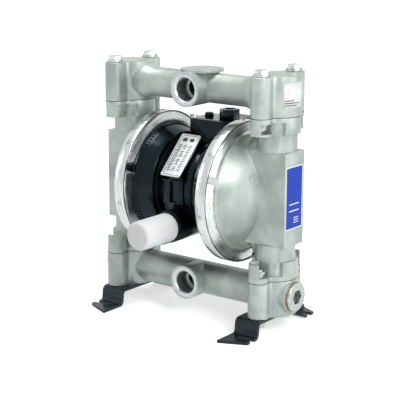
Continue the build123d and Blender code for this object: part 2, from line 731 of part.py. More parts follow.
# ---- Band clamps ----
with BuildPart() as clamp_retainers_right:
    crown_radius = strap_radius - strap_sheet - bolt_fit
    inner_crown = crown_radius - retainer_sheet
    leg_in = rim_half(rim_root_radius) + retainer_gap
    leg_out = leg_in + retainer_sheet
    crown_in = rim_half(inner_crown) + retainer_gap
    crown_out = rim_half(crown_radius) + retainer_gap + retainer_sheet
    revolve(
        turning(
            (rim_x - leg_out, rim_root_radius),
            (rim_x - crown_out, crown_radius),
            (rim_x + crown_out, crown_radius),
            (rim_x + leg_out, rim_root_radius),
            (rim_x + leg_in, rim_root_radius),
            (rim_x + crown_in, inner_crown),
            (rim_x - crown_in, inner_crown),
            (rim_x - leg_in, rim_root_radius),
        ),
        axis=shaft_axis,
    )
    for step in range(3):
        gap_angle = segment_angle + 120 * step
        turn = radians(gap_angle)
        with Locations(Plane(origin=on_rim(gap_angle, rim_radius), x_dir=(1, 0, 0), z_dir=(0, -cos(turn), sin(turn)))):
            Box(4 * leg_out, segment_gap, 3 * (strap_radius - rim_root_radius), mode=Mode.SUBTRACT)

closure = radians(closure_angle)
loop_centre_radius = strap_radius + loop_radius - strap_sheet
closure_plane = Plane(
    origin=on_rim(closure_angle, loop_centre_radius * cos(radians(closure_spread))),
    x_dir=(1, 0, 0), z_dir=(0, sin(closure), cos(closure)))
loop_offset = loop_centre_radius * sin(radians(closure_spread))

with BuildPart() as clamp_band_right:
    revolve(
        turning(
            (rim_x - strap_half_width, strap_radius - strap_sheet),
            (rim_x - strap_half_width, strap_radius),
            (rim_x + strap_half_width, strap_radius),
            (rim_x + strap_half_width, strap_radius - strap_sheet),
        ),
        axis=shaft_axis,
    )
    turn = closure
    with Locations(Plane(origin=on_rim(closure_angle, strap_radius), x_dir=(1, 0, 0), z_dir=(0, -cos(turn), sin(turn)))):
        Box(4 * strap_half_width, 2 * (loop_offset - loop_radius / 2), 4 * strap_sheet, mode=Mode.SUBTRACT)
    for way in (-1, 1):
        spot = on_rim(closure_angle + way * closure_spread, loop_centre_radius)
        with Locations(Location(spot, ALONG_X)):
            Cylinder(loop_radius, 2 * strap_half_width)
    for way in (-1, 1):
        spot = on_rim(closure_angle + way * closure_spread, loop_centre_radius)
        with Locations(Location(spot, ALONG_X)):
            Cylinder(loop_bore, 2 * strap_half_width, mode=Mode.SUBTRACT)
    with Locations(closure_plane):
        Cylinder(clamp_bolt_radius + hub_clearance, 2 * (loop_offset + 2 * loop_radius), mode=Mode.SUBTRACT)

with BuildPart() as clamp_bolt_right:
    bolt_reach = loop_offset + loop_radius + clamp_nut_height + bolt_tail
    with Locations(closure_plane.offset((bolt_reach - loop_offset) / 2)):
        Cylinder(clamp_bolt_radius, bolt_reach + loop_offset)
    with Locations(Location(closure_plane.offset(-loop_offset).origin, ALONG_X)):
        Cylinder(loop_bore - bolt_fit, 2 * strap_half_width - cast_edge)

with BuildPart() as clamp_nut_right:
    nut_plane = closure_plane.offset(loop_offset + loop_radius + bolt_fit)
    with BuildSketch(nut_plane):
        RegularPolygon(clamp_nut_flats / 2, 6, major_radius=False)
        Circle(clamp_bolt_radius + bolt_fit / 2, mode=Mode.SUBTRACT)
    extrude(amount=clamp_nut_height)

with BuildPart() as clamp_band_left:
    mirror(clamp_band_right.part, about=Plane.YZ)

with BuildPart() as clamp_retainers_left:
    mirror(clamp_retainers_right.part, about=Plane.YZ)

with BuildPart() as clamp_bolts:
    add(clamp_bolt_right.part)
    mirror(clamp_bolt_right.part, about=Plane.YZ)

with BuildPart() as clamp_nuts:
    add(clamp_nut_right.part)
    mirror(clamp_nut_right.part, about=Plane.YZ)

# ---- Air valve ----
valve_z_middle = shaft_z + (valve_low + valve_high) / 2
valve_height = valve_high - valve_low
valve_screw_x = housing_half_width - 2 * cover_screw_radius
valve_screw_z = valve_height / 2 - 2 * cover_screw_radius
valve_face = Plane(origin=(0, valve_face_y, valve_z_middle), x_dir=(1, 0, 0), z_dir=(0, -1, 0))
gasket_face = valve_face.offset(-gasket_thickness)
screw_spots = [(sx * valve_screw_x, sz * valve_screw_z) for sx in (-1, 1) for sz in (-1, 1)]
cavity_half_height = carriage_half_height + cast_edge
spool_local_z = spool_z - valve_z_middle

with BuildPart() as valve_gasket:
    with BuildSketch(gasket_face):
        RectangleRounded(2 * housing_half_width, valve_height, 3 * cast_edge)
        with Locations(*screw_spots):
            Circle(cover_screw_radius + bolt_fit, mode=Mode.SUBTRACT)
        with Locations((0, spool_local_z)):
            Rectangle(2 * cavity_half_width, 2 * cavity_half_height, mode=Mode.SUBTRACT)
    extrude(amount=gasket_thickness)

with BuildPart() as valve_housing:
    with BuildSketch(gasket_face):
        RectangleRounded(2 * housing_half_width, valve_height, 3 * cast_edge)
    extrude(amount=-valve_depth)
    fillet(valve_housing.faces().sort_by(Axis.Y)[-1].edges(), cast_edge)
    with BuildSketch(gasket_face):
        with Locations((0, spool_local_z)):
            Rectangle(2 * cavity_half_width, 2 * cavity_half_height)
    extrude(amount=-spool_y_offset, mode=Mode.SUBTRACT)
    with Locations(Location((0, spool_y, spool_z), ALONG_X)):
        Cylinder(spool_radius, 2 * housing_half_width, mode=Mode.SUBTRACT)
    with BuildSketch(gasket_face):
        with Locations(*screw_spots):
            Circle(cover_screw_radius + bolt_fit)
    extrude(amount=-valve_depth, mode=Mode.SUBTRACT)

with BuildPart() as valve_plate:
    with BuildSketch(valve_face):
        with Locations((0, spool_local_z)):
            Rectangle(2 * (cavity_half_width - bolt_fit), 2 * (cavity_half_height - bolt_fit))
            Rectangle(passage_radius / 2, cavity_half_height, mode=Mode.SUBTRACT)
    extrude(amount=-valve_plate_thickness)

with BuildPart() as valve_carriage:
    carriage_front = valve_face_y + valve_plate_thickness + running_fit
    carriage_back = spool_y - spool_stem - bolt_fit
    carriage_depth = carriage_back - carriage_front
    with Locations((0, carriage_front + carriage_depth / 2, spool_z)):
        Box(2 * carriage_half, carriage_depth, 2 * carriage_half_height)
    cup_depth = carriage_depth / 2
    with Locations((0, carriage_front + cup_depth / 2, spool_z)):
        Box(carriage_half, cup_depth, carriage_half_height, mode=Mode.SUBTRACT)

with BuildPart() as valve_spool:
    with Locations(Location((0, spool_y, spool_z), ALONG_X)):
        Cylinder(spool_stem, 2 * spool_half_length)
    land_length = spool_half_length - cavity_half_width - cast_edge
    for side in (-1, 1):
        land_x = side * (spool_half_length - land_length / 2)
        with Locations(Location((land_x, spool_y, spool_z), ALONG_X)):
            Cylinder(spool_radius - running_fit, land_length)
        collar_x = side * (carriage_half + carriage_fit + collar_width / 2)
        with Locations(Location((collar_x, spool_y, spool_z), ALONG_X)):
            Cylinder(collar_radius, collar_width)

with BuildPart() as valve_end_cap_right:
    cap_middle = housing_half_width - end_cap_length / 2
    with Locations(Location((cap_middle, spool_y, spool_z), ALONG_X)):
        Cylinder(spool_radius, end_cap_length)

with BuildPart() as valve_screws:
    valve_back = gasket_face.offset(-valve_depth)
    with BuildSketch(valve_back):
        with Locations(*screw_spots):
            Circle(2 * cover_screw_radius - bolt_fit)
    extrude(amount=-cover_screw_head)
    with BuildSketch(valve_back):
        with Locations(*screw_spots):
            Circle(cover_screw_radius)
    extrude(amount=valve_depth + gasket_thickness + cover_screw_grip)
    with BuildSketch(valve_back.offset(-cover_screw_head)):
        with Locations(*screw_spots):
            RegularPolygon(cover_screw_radius - cast_edge / 2, 6)
    extrude(amount=cover_screw_head / 2, mode=Mode.SUBTRACT)

with centre_housing:
    with BuildSketch(valve_face):
        with Locations(*screw_spots):
            Circle(cover_screw_radius + bolt_fit)
    extrude(amount=cover_screw_grip + bolt_fit, mode=Mode.SUBTRACT)

mirrored_pairs["valve_end_cap"] = valve_end_cap_right

# ---- Fittings on the air section ----
with BuildPart() as air_inlet_fitting:
    with Locations((inlet_fitting_x, fitting_y, block_top_z)):
        add(hex_prism(Plane.XY, inlet_fitting_flats, inlet_fitting_height))
        Cylinder(fitting_shank_radius, fitting_shank, align=(Align.CENTER, Align.CENTER, Align.MAX))
    with BuildSketch(Plane.XY.offset(block_top_z - fitting_shank)):
        with Locations((inlet_fitting_x, fitting_y)):
            Circle(air_tap_radius)
    extrude(amount=fitting_shank + inlet_fitting_height, mode=Mode.SUBTRACT)

with BuildPart() as ground_screw:
    with Locations((ground_screw_x, fitting_y, block_top_z)):
        Cylinder(ground_screw_head, ground_screw_head, align=(Align.CENTER, Align.CENTER, Align.MIN))
    fillet(ground_screw.faces().sort_by(Axis.Z)[-1].edges(), ground_screw_head / 2)

with BuildPart() as nameplate:
    plate_back = plate_offset - plate_sheet
    plate_plane = Plane(
        origin=(0, -plate_back * cos(tilt), shaft_z + plate_back * sin(tilt)),
        x_dir=(1, 0, 0), z_dir=plate_normal)
    with BuildSketch(plate_plane):
        RectangleRounded(plate_width, plate_length, 2 * cast_edge)
    extrude(amount=plate_sheet)

with BuildPart() as muffler:
    with BuildSketch(Plane(origin=(0, -nozzle_reach, exhaust_z), x_dir=(1, 0, 0), z_dir=(0, -1, 0))):
        Circle(muffler_radius)
    extrude(amount=muffler_length)
    fillet(muffler.edges().filter_by(GeomType.CIRCLE), muffler_wall)
    with Locations(Location((0, -nozzle_reach + muffler_neck / 2, exhaust_z), FORWARD)):
        Cylinder(exhaust_bore - bolt_fit, muffler_neck)
    bore_length = muffler_length + muffler_neck - muffler_wall
    with Locations(Location((0, -nozzle_reach + muffler_neck - bore_length / 2, exhaust_z), FORWARD)):
        Cylinder(exhaust_bore - muffler_wall + cast_edge, bore_length, mode=Mode.SUBTRACT)

# ---- Fasteners ----
outlet_head_z = outlet_top_z + washer_thickness
inlet_head_z = foot_rise - washer_thickness
outlet_nut_z = outlet_joint_z - nut_depth
inlet_nut_z = inlet_joint_z + nut_depth

with BuildPart() as manifold_washers:
    for z in (outlet_top_z, inlet_head_z):
        with BuildSketch(Plane.XY.offset(z)):
            with Locations(*bolt_spots):
                Circle(washer_radius)
                Circle(bolt_hole_radius, mode=Mode.SUBTRACT)
        extrude(amount=washer_thickness)

with BuildPart() as manifold_bolts:
    for head_z, way, nut_z in ((outlet_head_z, 1, outlet_nut_z), (inlet_head_z, -1, inlet_nut_z)):
        with BuildSketch(Plane.XY.offset(head_z)):
            with Locations(*bolt_spots):
                RegularPolygon(bolt_flats / 2, 6, major_radius=False)
        extrude(amount=way * bolt_head_height)
        with BuildSketch(Plane.XY.offset(head_z)):
            with Locations(*bolt_spots):
                Circle(bolt_flange_radius)
        extrude(amount=way * bolt_flange_height)
        with BuildSketch(Plane.XY.offset(head_z)):
            with Locations(*bolt_spots):
                Circle(bolt_radius)
        extrude(amount=-(way * (head_z - nut_z) + nut_height + bolt_tail) * way)

with BuildPart() as manifold_nuts:
    for nut_z, way in ((outlet_nut_z, -1), (inlet_nut_z, 1)):
        with BuildSketch(Plane.XY.offset(nut_z)):
            with Locations(*bolt_spots):
                RegularPolygon(bolt_flats / 2, 6, major_radius=False, rotation=30)
                Circle(bolt_radius + bolt_fit, mode=Mode.SUBTRACT)
        extrude(amount=way * nut_height)

with BuildPart() as plug_seals:
    for side in (-1, 1):
        face_x = side * (column_x + end_boss_reach + plug_seal_thickness / 2)
        with Locations(Location((face_x, 0, inlet_pipe_z), ALONG_X)):
            Cylinder(plug_radius + cast_edge / 2, plug_seal_thickness)
            Cylinder(port_tap_radius, plug_seal_thickness, mode=Mode.SUBTRACT)

with BuildPart() as inlet_plug_right:
    plug_seat_x = column_x + end_boss_reach + plug_seal_thickness
    with Locations(Location((plug_seat_x + plug_head / 2, 0, inlet_pipe_z), ALONG_X)):
        Cylinder(plug_radius, plug_head)
    fillet(inlet_plug_right.faces().sort_by(Axis.X)[-1].edges(), cast_edge)
    with Locations(Location((plug_seat_x - plug_shank / 2, 0, inlet_pipe_z), ALONG_X)):
        Cylinder(port_tap_radius - bolt_fit, plug_shank)
    socket_plane = Plane(origin=(plug_seat_x + plug_head, 0, inlet_pipe_z), x_dir=(0, 1, 0), z_dir=(1, 0, 0))
    with BuildSketch(socket_plane):
        RegularPolygon(plug_flats / 2, 6, major_radius=False)
    extrude(amount=-plug_socket_depth, mode=Mode.SUBTRACT)

mirrored_pairs["inlet_plug"] = inlet_plug_right

# ---- Feet ----
with BuildPart() as foot_right:
    foot_start = foot_centre_x - foot_half_width
    shoulder = foot_bend_y - foot_sheet / 2
    toe = foot_bend_y + foot_sheet / 2
    half = [(0, foot_rise), (shoulder, foot_rise), (toe - foot_sheet / 2, 0), (foot_toe_inner, 0)]
    half += [(foot_toe_inner, foot_sheet), (toe + foot_sheet / 2, foot_sheet)]
    half += [(shoulder + foot_sheet / 2, inlet_base_z), (0, inlet_base_z)]
    rear = [(-y, z) for y, z in reversed(half[1:-1])]
    side_plane = Plane(origin=(foot_start, 0, 0), x_dir=(0, 1, 0), z_dir=(1, 0, 0))
    extrude(polygon(side_plane, *half, *rear), amount=2 * foot_half_width)
    foot_end = foot_centre_x + foot_half_width
    for flank in (-1, 1):
        trim = polygon(
            Plane.XY,
            (foot_start, flank * foot_toe_inner),
            (foot_end, flank * foot_toe_outer),
            (foot_end, flank * (foot_toe_inner + foot_sheet)),
            (foot_start, flank * (foot_toe_inner + foot_sheet)),
        )
        extrude(trim, amount=foot_sheet, both=True, mode=Mode.SUBTRACT)
        slot_length = foot_end - foot_slot_x
        with Locations((foot_slot_x + slot_length / 2, flank * foot_slot_y, foot_sheet / 2)):
            Box(slot_length, foot_slot_width, foot_sheet, mode=Mode.SUBTRACT)
        with Locations((foot_slot_x, flank * foot_slot_y, foot_sheet / 2)):
            Cylinder(foot_slot_width / 2, foot_sheet, mode=Mode.SUBTRACT)
    with BuildSketch(Plane.XY.offset(foot_rise)):
        with Locations(*right_bolts):
            Circle(bolt_hole_radius)
    extrude(amount=foot_sheet, mode=Mode.SUBTRACT)

mirrored_pairs["foot"] = foot_right

# ---- Names and files ----
pieces = {
    "outlet_manifold": outlet_manifold,
    "inlet_manifold": inlet_manifold,
    "fluid_cover_left": fluid_cover_left,
    "fluid_cover_right": fluid_cover_right,
    "seat_o_rings": seat_o_rings,
    "centre_housing": centre_housing,
    "air_cover_left": air_cover_left,
    "air_cover_right": air_cover_right,
    "air_cover_gasket_left": air_cover_gasket_left,
    "air_cover_gasket_right": air_cover_gasket_right,
    "air_cover_screws": air_cover_screws,
    "shaft": shaft,
    "shaft_bearings": shaft_bearings,
    "shaft_seals": shaft_seals,
    "pilot_bushes": pilot_bushes,
    "clamp_band_left": clamp_band_left,
    "clamp_band_right": clamp_band_right,
    "clamp_retainers_left": clamp_retainers_left,
    "clamp_retainers_right": clamp_retainers_right,
    "clamp_bolts": clamp_bolts,
    "clamp_nuts": clamp_nuts,
    "valve_gasket": valve_gasket,
    "valve_housing": valve_housing,
    "valve_plate": valve_plate,
    "valve_carriage": valve_carriage,
    "valve_spool": valve_spool,
    "valve_screws": valve_screws,
    "air_inlet_fitting": air_inlet_fitting,
    "ground_screw": ground_screw,
    "nameplate": nameplate,
    "muffler": muffler,
    "manifold_washers": manifold_washers,
    "manifold_bolts": manifold_bolts,
    "manifold_nuts": manifold_nuts,
    "plug_seals": plug_seals,
}
pieces.update(valve_pieces)
for stem, right_piece in mirrored_pairs.items():
    with BuildPart() as left_piece:
        mirror(right_piece.part, about=Plane.YZ)
    pieces[f"{stem}_left"] = left_piece
    pieces[f"{stem}_right"] = right_piece

for label, piece in pieces.items():
    piece.part.label = label
    export_step(piece.part, f"parts/{label}.step")
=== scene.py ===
import json
import math
import bpy
import bmesh
from mathutils import Matrix, Vector


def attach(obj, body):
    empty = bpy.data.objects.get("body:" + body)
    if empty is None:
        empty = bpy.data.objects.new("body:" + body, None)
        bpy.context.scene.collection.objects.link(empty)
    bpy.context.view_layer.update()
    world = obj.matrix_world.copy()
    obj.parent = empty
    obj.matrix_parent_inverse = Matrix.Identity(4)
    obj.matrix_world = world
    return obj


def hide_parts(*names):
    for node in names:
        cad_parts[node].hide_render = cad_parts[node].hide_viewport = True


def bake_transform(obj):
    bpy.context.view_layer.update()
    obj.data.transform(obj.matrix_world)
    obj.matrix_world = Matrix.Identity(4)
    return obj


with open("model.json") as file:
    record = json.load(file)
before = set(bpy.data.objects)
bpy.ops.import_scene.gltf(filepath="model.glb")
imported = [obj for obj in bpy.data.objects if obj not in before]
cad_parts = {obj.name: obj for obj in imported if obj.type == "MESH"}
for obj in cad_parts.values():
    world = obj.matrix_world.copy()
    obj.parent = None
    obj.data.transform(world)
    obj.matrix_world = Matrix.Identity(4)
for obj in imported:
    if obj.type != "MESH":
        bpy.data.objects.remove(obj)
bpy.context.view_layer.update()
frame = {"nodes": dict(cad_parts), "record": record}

MM = 0.001
PUMP = "pump_frame"
SHAFT = "shaft_group"

SIDES = (("left", -1), ("right", 1))

# ---- Reference sizes, in metres, as the castings have them ----
COLUMN_X = 95.5 * MM
SHAFT_Z = 142.1 * MM
INLET_JOINT_Z = 57.1 * MM
OUTLET_JOINT_Z = 227.1 * MM
OUTLET_PIPE_Z = 247.1 * MM
INLET_PIPE_Z = 38.8 * MM
RIM_X = 53.5 * MM
STRAP_RADIUS = 75.0 * MM
PORT_FACE_Y = -31.0 * MM
BLOCK_RADIUS = 24.0 * MM
BOSS_RADIUS = 11.0 * MM
BOLT_Y = 29.4 * MM
BOLT_HOLE = 4.3 * MM


# ---- Node materials ----
def new_material(name, colour, roughness, metallic=0.0):
    """A principled material and its shader node."""
    material = bpy.data.materials.new(name)
    material.use_nodes = True
    shader = material.node_tree.nodes["Principled BSDF"]
    shader.inputs["Base Color"].default_value = (*colour, 1)
    shader.inputs["Roughness"].default_value = roughness
    shader.inputs["Metallic"].default_value = metallic
    return material, shader


def add_node(material, kind, **settings):
    """A node of this kind; settings are socket names (with _ for space) or properties."""
    node = material.node_tree.nodes.new(kind)
    for key, value in settings.items():
        socket = key.replace("_", " ").title()
        if socket in node.inputs:
            node.inputs[socket].default_value = value
        else:
            setattr(node, key, value)
    return node


def link(material, source, target):
    material.node_tree.links.new(source, target)


def noise(material, scale, detail=4.0, stretch=(1, 1, 1)):
    """Object-space noise, stretched along the axes."""
    place = add_node(material, "ShaderNodeTexCoord")
    mapping = add_node(material, "ShaderNodeMapping")
    mapping.inputs["Scale"].default_value = stretch
    link(material, place.outputs["Object"], mapping.inputs["Vector"])
    texture = add_node(material, "ShaderNodeTexNoise", scale=scale, detail=detail)
    link(material, mapping.outputs["Vector"], texture.inputs["Vector"])
    return texture


def ramp(material, source, stops):
    """Colour ramp from (position, colour) stops."""
    node = add_node(material, "ShaderNodeValToRGB")
    elements = node.color_ramp.elements
    while len(elements) < len(stops):
        elements.new(0.5)
    for element, (position, colour) in zip(elements, stops):
        element.position = position
        element.color = (*colour, 1)
    link(material, source, node.inputs["Fac"])
    return node


def bump(material, shader, source, strength, distance):
    """Surface relief from a height."""
    node = add_node(material, "ShaderNodeBump", strength=strength, distance=distance)
    link(material, source, node.inputs["Height"])
    link(material, node.outputs["Normal"], shader.inputs["Normal"])


def vary(material, shader, texture, dark, light, rough_low=None, rough_high=None):
    """Colour, and roughness if given, that wander with a texture."""
    colours = ramp(material, texture.outputs["Fac"], [(0.35, dark), (0.65, light)])
    link(material, colours.outputs["Color"], shader.inputs["Base Color"])
    if rough_low is not None:
        spread = add_node(material, "ShaderNodeMapRange")
        spread.inputs["To Min"].default_value = rough_low
        spread.inputs["To Max"].default_value = rough_high
        link(material, texture.outputs["Fac"], spread.inputs["Value"])
        link(material, spread.outputs["Result"], shader.inputs["Roughness"])


def casting_material():
    """Blasted grey aluminium: fine grain, soft tone changes and a satin sheen."""
    material, shader = new_material("casting", (0.42, 0.48, 0.45), 0.44, 0.5)
    vary(material, shader, noise(material, 38), (0.34, 0.395, 0.37), (0.50, 0.56, 0.53), 0.36, 0.5)
    bump(material, shader, noise(material, 2400, 2).outputs["Fac"], 0.16, 0.00012)
    return material


def machined_material():
    """Turned metal faces: bright, with fine rings."""
    material, shader = new_material("machined", (0.78, 0.80, 0.80), 0.3, 0.9)
    vary(material, shader, noise(material, 900, 3), (0.50, 0.53, 0.53), (0.70, 0.73, 0.73), 0.24, 0.38)
    bump(material, shader, noise(material, 1800, 2).outputs["Fac"], 0.08, 0.0001)
    return material


def stainless_material():
    """Rolled stainless strip, polished, with faint lines along its length."""
    material, shader = new_material("stainless", (0.80, 0.82, 0.82), 0.2, 1.0)
    lines = noise(material, 60, 4, (30, 1, 1))
    vary(material, shader, lines, (0.48, 0.51, 0.50), (0.68, 0.71, 0.70), 0.18, 0.28)
    bump(material, shader, noise(material, 500, 2, (8, 1, 1)).outputs["Fac"], 0.06, 0.0001)
    return material


def zinc_material():
    """Bright zinc on fasteners."""
    material, shader = new_material("zinc", (0.72, 0.75, 0.74), 0.28, 1.0)
    vary(material, shader, noise(material, 420), (0.34, 0.38, 0.37), (0.56, 0.60, 0.58), 0.26, 0.4)
    bump(material, shader, noise(material, 1500, 2).outputs["Fac"], 0.08, 0.0001)
    return material


def black_body_material():
    """Glossy black enamel with a slight orange peel."""
    material, shader = new_material("black_body", (0.006, 0.010, 0.014), 0.2)
    shader.inputs["Specular IOR Level"].default_value = 0.28
    shader.inputs["Specular Tint"].default_value = (0.55, 0.82, 1.0, 1)
    vary(material, shader, noise(material, 90), (0.0012, 0.0025, 0.003), (0.003, 0.006, 0.008), 0.1, 0.2)
    bump(material, shader, noise(material, 420, 2).outputs["Fac"], 0.12, 0.0002)
    return material


def rubber_material():
    """Matte black rubber."""
    material, shader = new_material("rubber", (0.02, 0.02, 0.02), 0.7)
    vary(material, shader, noise(material, 160), (0.012, 0.012, 0.012), (0.03, 0.03, 0.03), 0.6, 0.8)
    bump(material, shader, noise(material, 900, 3).outputs["Fac"], 0.2, 0.0001)
    return material


def white_plastic_material():
    """White acetal."""
    material, shader = new_material("white_plastic", (0.86, 0.86, 0.84), 0.35)
    vary(material, shader, noise(material, 70), (0.82, 0.82, 0.80), (0.90, 0.90, 0.88), 0.3, 0.42)
    return material


def porous_material():
    """White sintered plastic: open pores and a chalky surface."""
    material, shader = new_material("porous_white", (0.88, 0.88, 0.88), 0.75)
    vary(material, shader, noise(material, 1100, 5), (0.80, 0.81, 0.82), (0.92, 0.92, 0.92), 0.65, 0.85)
    bump(material, shader, noise(material, 1300, 5).outputs["Fac"], 0.25, 0.0002)
    return material


def plate_material():
    """Silver plate of anodised aluminium."""
    material, shader = new_material("plate_silver", (0.80, 0.81, 0.82), 0.36, 0.35)
    lines = noise(material, 300, 3, (1, 12, 12))
    vary(material, shader, lines, (0.74, 0.75, 0.76), (0.86, 0.87, 0.88), 0.3, 0.44)
    return material


def foot_material():
    """Black paint on sheet steel with a few rubbed specks."""
    material, shader = new_material("foot_paint", (0.012, 0.015, 0.018), 0.3)
    shader.inputs["Specular IOR Level"].default_value = 0.4
    shader.inputs["Specular Tint"].default_value = (0.6, 0.85, 1.0, 1)
    vary(material, shader, noise(material, 120), (0.003, 0.005, 0.006), (0.012, 0.018, 0.022), 0.2, 0.38)
    bump(material, shader, noise(material, 700, 3).outputs["Fac"], 0.15, 0.00015)
    return material


def copper_material():
    """Copper sealing ring, slightly tarnished."""
    material, shader = new_material("copper", (0.35, 0.17, 0.10), 0.38, 0.85)
    vary(material, shader, noise(material, 240), (0.22, 0.10, 0.07), (0.45, 0.24, 0.15), 0.3, 0.5)
    return material


def enamel(name, dark, light):
    """Printed film: a flat colour with a faint mottle and a soft gloss."""
    material, shader = new_material(name, light, 0.32)
    shader.inputs["Specular IOR Level"].default_value = 0.2
    vary(material, shader, noise(material, 220), dark, light, 0.26, 0.4)
    return material


MATERIALS = {
    "casting": casting_material(),
    "stainless": stainless_material(),
    "zinc_steel": zinc_material(),
    "black_body": black_body_material(),
    "seal_rubber": rubber_material(),
    "white_plastic": white_plastic_material(),
    "white_porous": porous_material(),
    "plate_metal": plate_material(),
    "foot_paint": foot_material(),
    "copper": copper_material(),
}
MACHINED = machined_material()
BLUE_FILM = enamel("blue_film", (0.001, 0.040, 0.40), (0.002, 0.055, 0.52))
WHITE_FILM = enamel("white_film", (0.80, 0.81, 0.83), (0.88, 0.89, 0.90))
GREY_INK = enamel("grey_ink", (0.06, 0.065, 0.07), (0.10, 0.105, 0.11))
WELD = enamel("weld", (0.20, 0.19, 0.11), (0.30, 0.28, 0.16))

# ---- CAD nodes: finish and softened edges ----
EDGE_WIDTH = {"casting": 0.9 * MM, "black_body": 0.6 * MM, "foot_paint": 0.5 * MM}
OTHER_EDGE = 0.3 * MM
CARVED_EDGE = 0.7 * MM
SHARP_ANGLE = math.radians(28)
SPLIT_GAP = 0.000002  # corners closer than this are one


def soften(obj, width):
    """Joins split corners, rounds the sharp edges and shades the rest smooth."""
    obj.data.polygons.foreach_set("use_smooth", [True] * len(obj.data.polygons))
    weld = obj.modifiers.new("weld", "WELD")
    weld.merge_threshold = SPLIT_GAP
    edge = obj.modifiers.new("edge", "BEVEL")
    edge.width = width
    edge.segments = 2
    edge.limit_method = "ANGLE"
    edge.angle_limit = SHARP_ANGLE
    edge.use_clamp_overlap = True
    edge.harden_normals = True


FINISH_HERE = {"air_inlet_fitting": "black_body", "ground_screw": "black_body"}
slot_of = {entry["node"]: entry["material_slot"] for entry in frame["record"]["subparts"]}
for name, node in frame["nodes"].items():
    slot = slot_of[name]
    node.data.materials.clear()
    node.data.materials.append(MATERIALS[FINISH_HERE.get(name, slot)])
    soften(node, EDGE_WIDTH.get(slot, OTHER_EDGE))


# ---- Points and faces ----
def around(x, radius, angle, centre_z=SHAFT_Z):
    """Point beside the shaft at an angle from -Y towards +Z."""
    return Vector((x, -radius * math.cos(angle), centre_z + radius * math.sin(angle)))


def arc_points(centre, radius, first, last, steps):
    """Points of an arc in a plan, both ends included."""
    points = []
    for step in range(steps + 1):
        angle = first + (last - first) * step / steps
        points.append((centre[0] + radius * math.cos(angle), centre[1] + radius * math.sin(angle)))
    return points


def disc(x, y, radius, sides=48):
    """Plan of a circle."""
    turns = [2 * math.pi * (k + 0.5) / sides for k in range(sides)]
    return [(x + radius * math.cos(t), y + radius * math.sin(t)) for t in turns]


def rounded(width, height, radius, place=(0, 0), steps=5):
    """Corner points of a rounded rectangle."""
    points = []
    for corner in range(4):
        x = place[0] + (width / 2 - radius) * (1 if corner in (0, 3) else -1)
        y = place[1] + (height / 2 - radius) * (1 if corner in (0, 1) else -1)
        start = math.pi / 2 * corner
        points += arc_points((x, y), radius, start, start + math.pi / 2, steps)
    return points


def wall_faces(count, offset=0):
    """Both ends and the sides between two outlines of count points, numbered from offset."""
    faces = [tuple(range(offset, offset + count)), tuple(range(offset + count, offset + 2 * count))]
    for k in range(count):
        after = (k + 1) % count
        faces.append((offset + k, offset + after, offset + count + after, offset + count + k))
    return faces


def ring_faces(count, rings, gaps):
    """Faces from each ring of count points to the next, over the first gaps."""
    faces = []
    for ring in range(gaps):
        after = (ring + 1) % rings
        for i in range(count):
            j = (i + 1) % count
            faces.append((ring * count + i, ring * count + j, after * count + j, after * count + i))
    return faces


# ---- Helpers for the scene's own pieces ----
def outward_mesh(name, vertices, faces):
    """A mesh from points and faces, with its normals facing out."""
    mesh = bpy.data.meshes.new(name)
    mesh.from_pydata([tuple(v) for v in vertices], [], faces)
    build = bmesh.new()
    build.from_mesh(mesh)
    bmesh.ops.recalc_face_normals(build, faces=build.faces)
    build.to_mesh(mesh)
    build.free()
    return mesh


def place_piece(obj, material, body=PUMP):
    """Links a piece, gives it its finish and, if one is given, its body."""
    bpy.context.scene.collection.objects.link(obj)
    obj.data.materials.append(material)
    if body:
        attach(obj, body)
    return obj


def mesh_piece(name, vertices, faces, material, body=PUMP, smooth=True):
    """A piece from points and faces."""
    mesh = outward_mesh(name, vertices, faces)
    mesh.polygons.foreach_set("use_smooth", [smooth] * len(mesh.polygons))
    return place_piece(bpy.data.objects.new(name, mesh), material, body)


def bead(name, lines, radius, material):
    """Round beads of one radius along closed lines of points."""
    curve = bpy.data.curves.new(name, "CURVE")
    curve.dimensions = "3D"
    curve.bevel_depth = radius
    curve.bevel_resolution = 2
    for points in lines:
        spline = curve.splines.new("POLY")
        spline.points.add(len(points) - 1)
        for point, place in zip(spline.points, points):
            point.co = (*place, 1)
        spline.use_cyclic_u = True
    return place_piece(bpy.data.objects.new(name, curve), material)


def turned_piece(name, profile, material, body, sides=96, arc=(0, 2 * math.pi)):
    """A closed profile of (x, radius) points turned about the shaft, whole or over an arc."""
    start, end = arc
    whole = end - start > 2 * math.pi - 0.001
    rings = sides if whole else sides + 1
    vertices = []
    for ring in range(rings):
        angle = start + (end - start) * ring / sides
        vertices += [around(x, radius, angle) for x, radius in profile]
    count = len(profile)
    faces = ring_faces(count, rings, sides)
    if not whole:
        faces.append(tuple(range(count)))
        faces.append(tuple(range((rings - 1) * count, rings * count)))
    return mesh_piece(name, vertices, faces, material, body)


def slab(outline, plane, low, high):
    """Vertices of a flat shape raised from a plane of (base, u, v, normal)."""
    base, u, v, normal = plane
    vertices = []
    for height in (low, high):
        vertices += [base + u * a + v * b + normal * height for a, b in outline]
    return vertices


def printed(name, shapes, plane, low, high, material):
    """Several flat raised shapes in one piece."""
    vertices, faces = [], []
    for shape in shapes:
        faces += wall_faces(len(shape), len(vertices))
        vertices += slab(shape, plane, low, high)
    return mesh_piece(name, vertices, faces, material, smooth=False)


# ---- Carving ----
TINY = 0.00001
SLIVER = 0.02 * MM


def solid_of(name, vertices, faces):
    """A closed mesh object for carving."""
    obj = bpy.data.objects.new(name, outward_mesh(name, vertices, faces))
    bpy.context.scene.collection.objects.link(obj)
    return obj


def prism(points, low, high):
    """An upright solid over a plan."""
    vertices = [(x, y, z) for z in (low, high) for x, y in points]
    return solid_of("prism", vertices, wall_faces(len(points)))


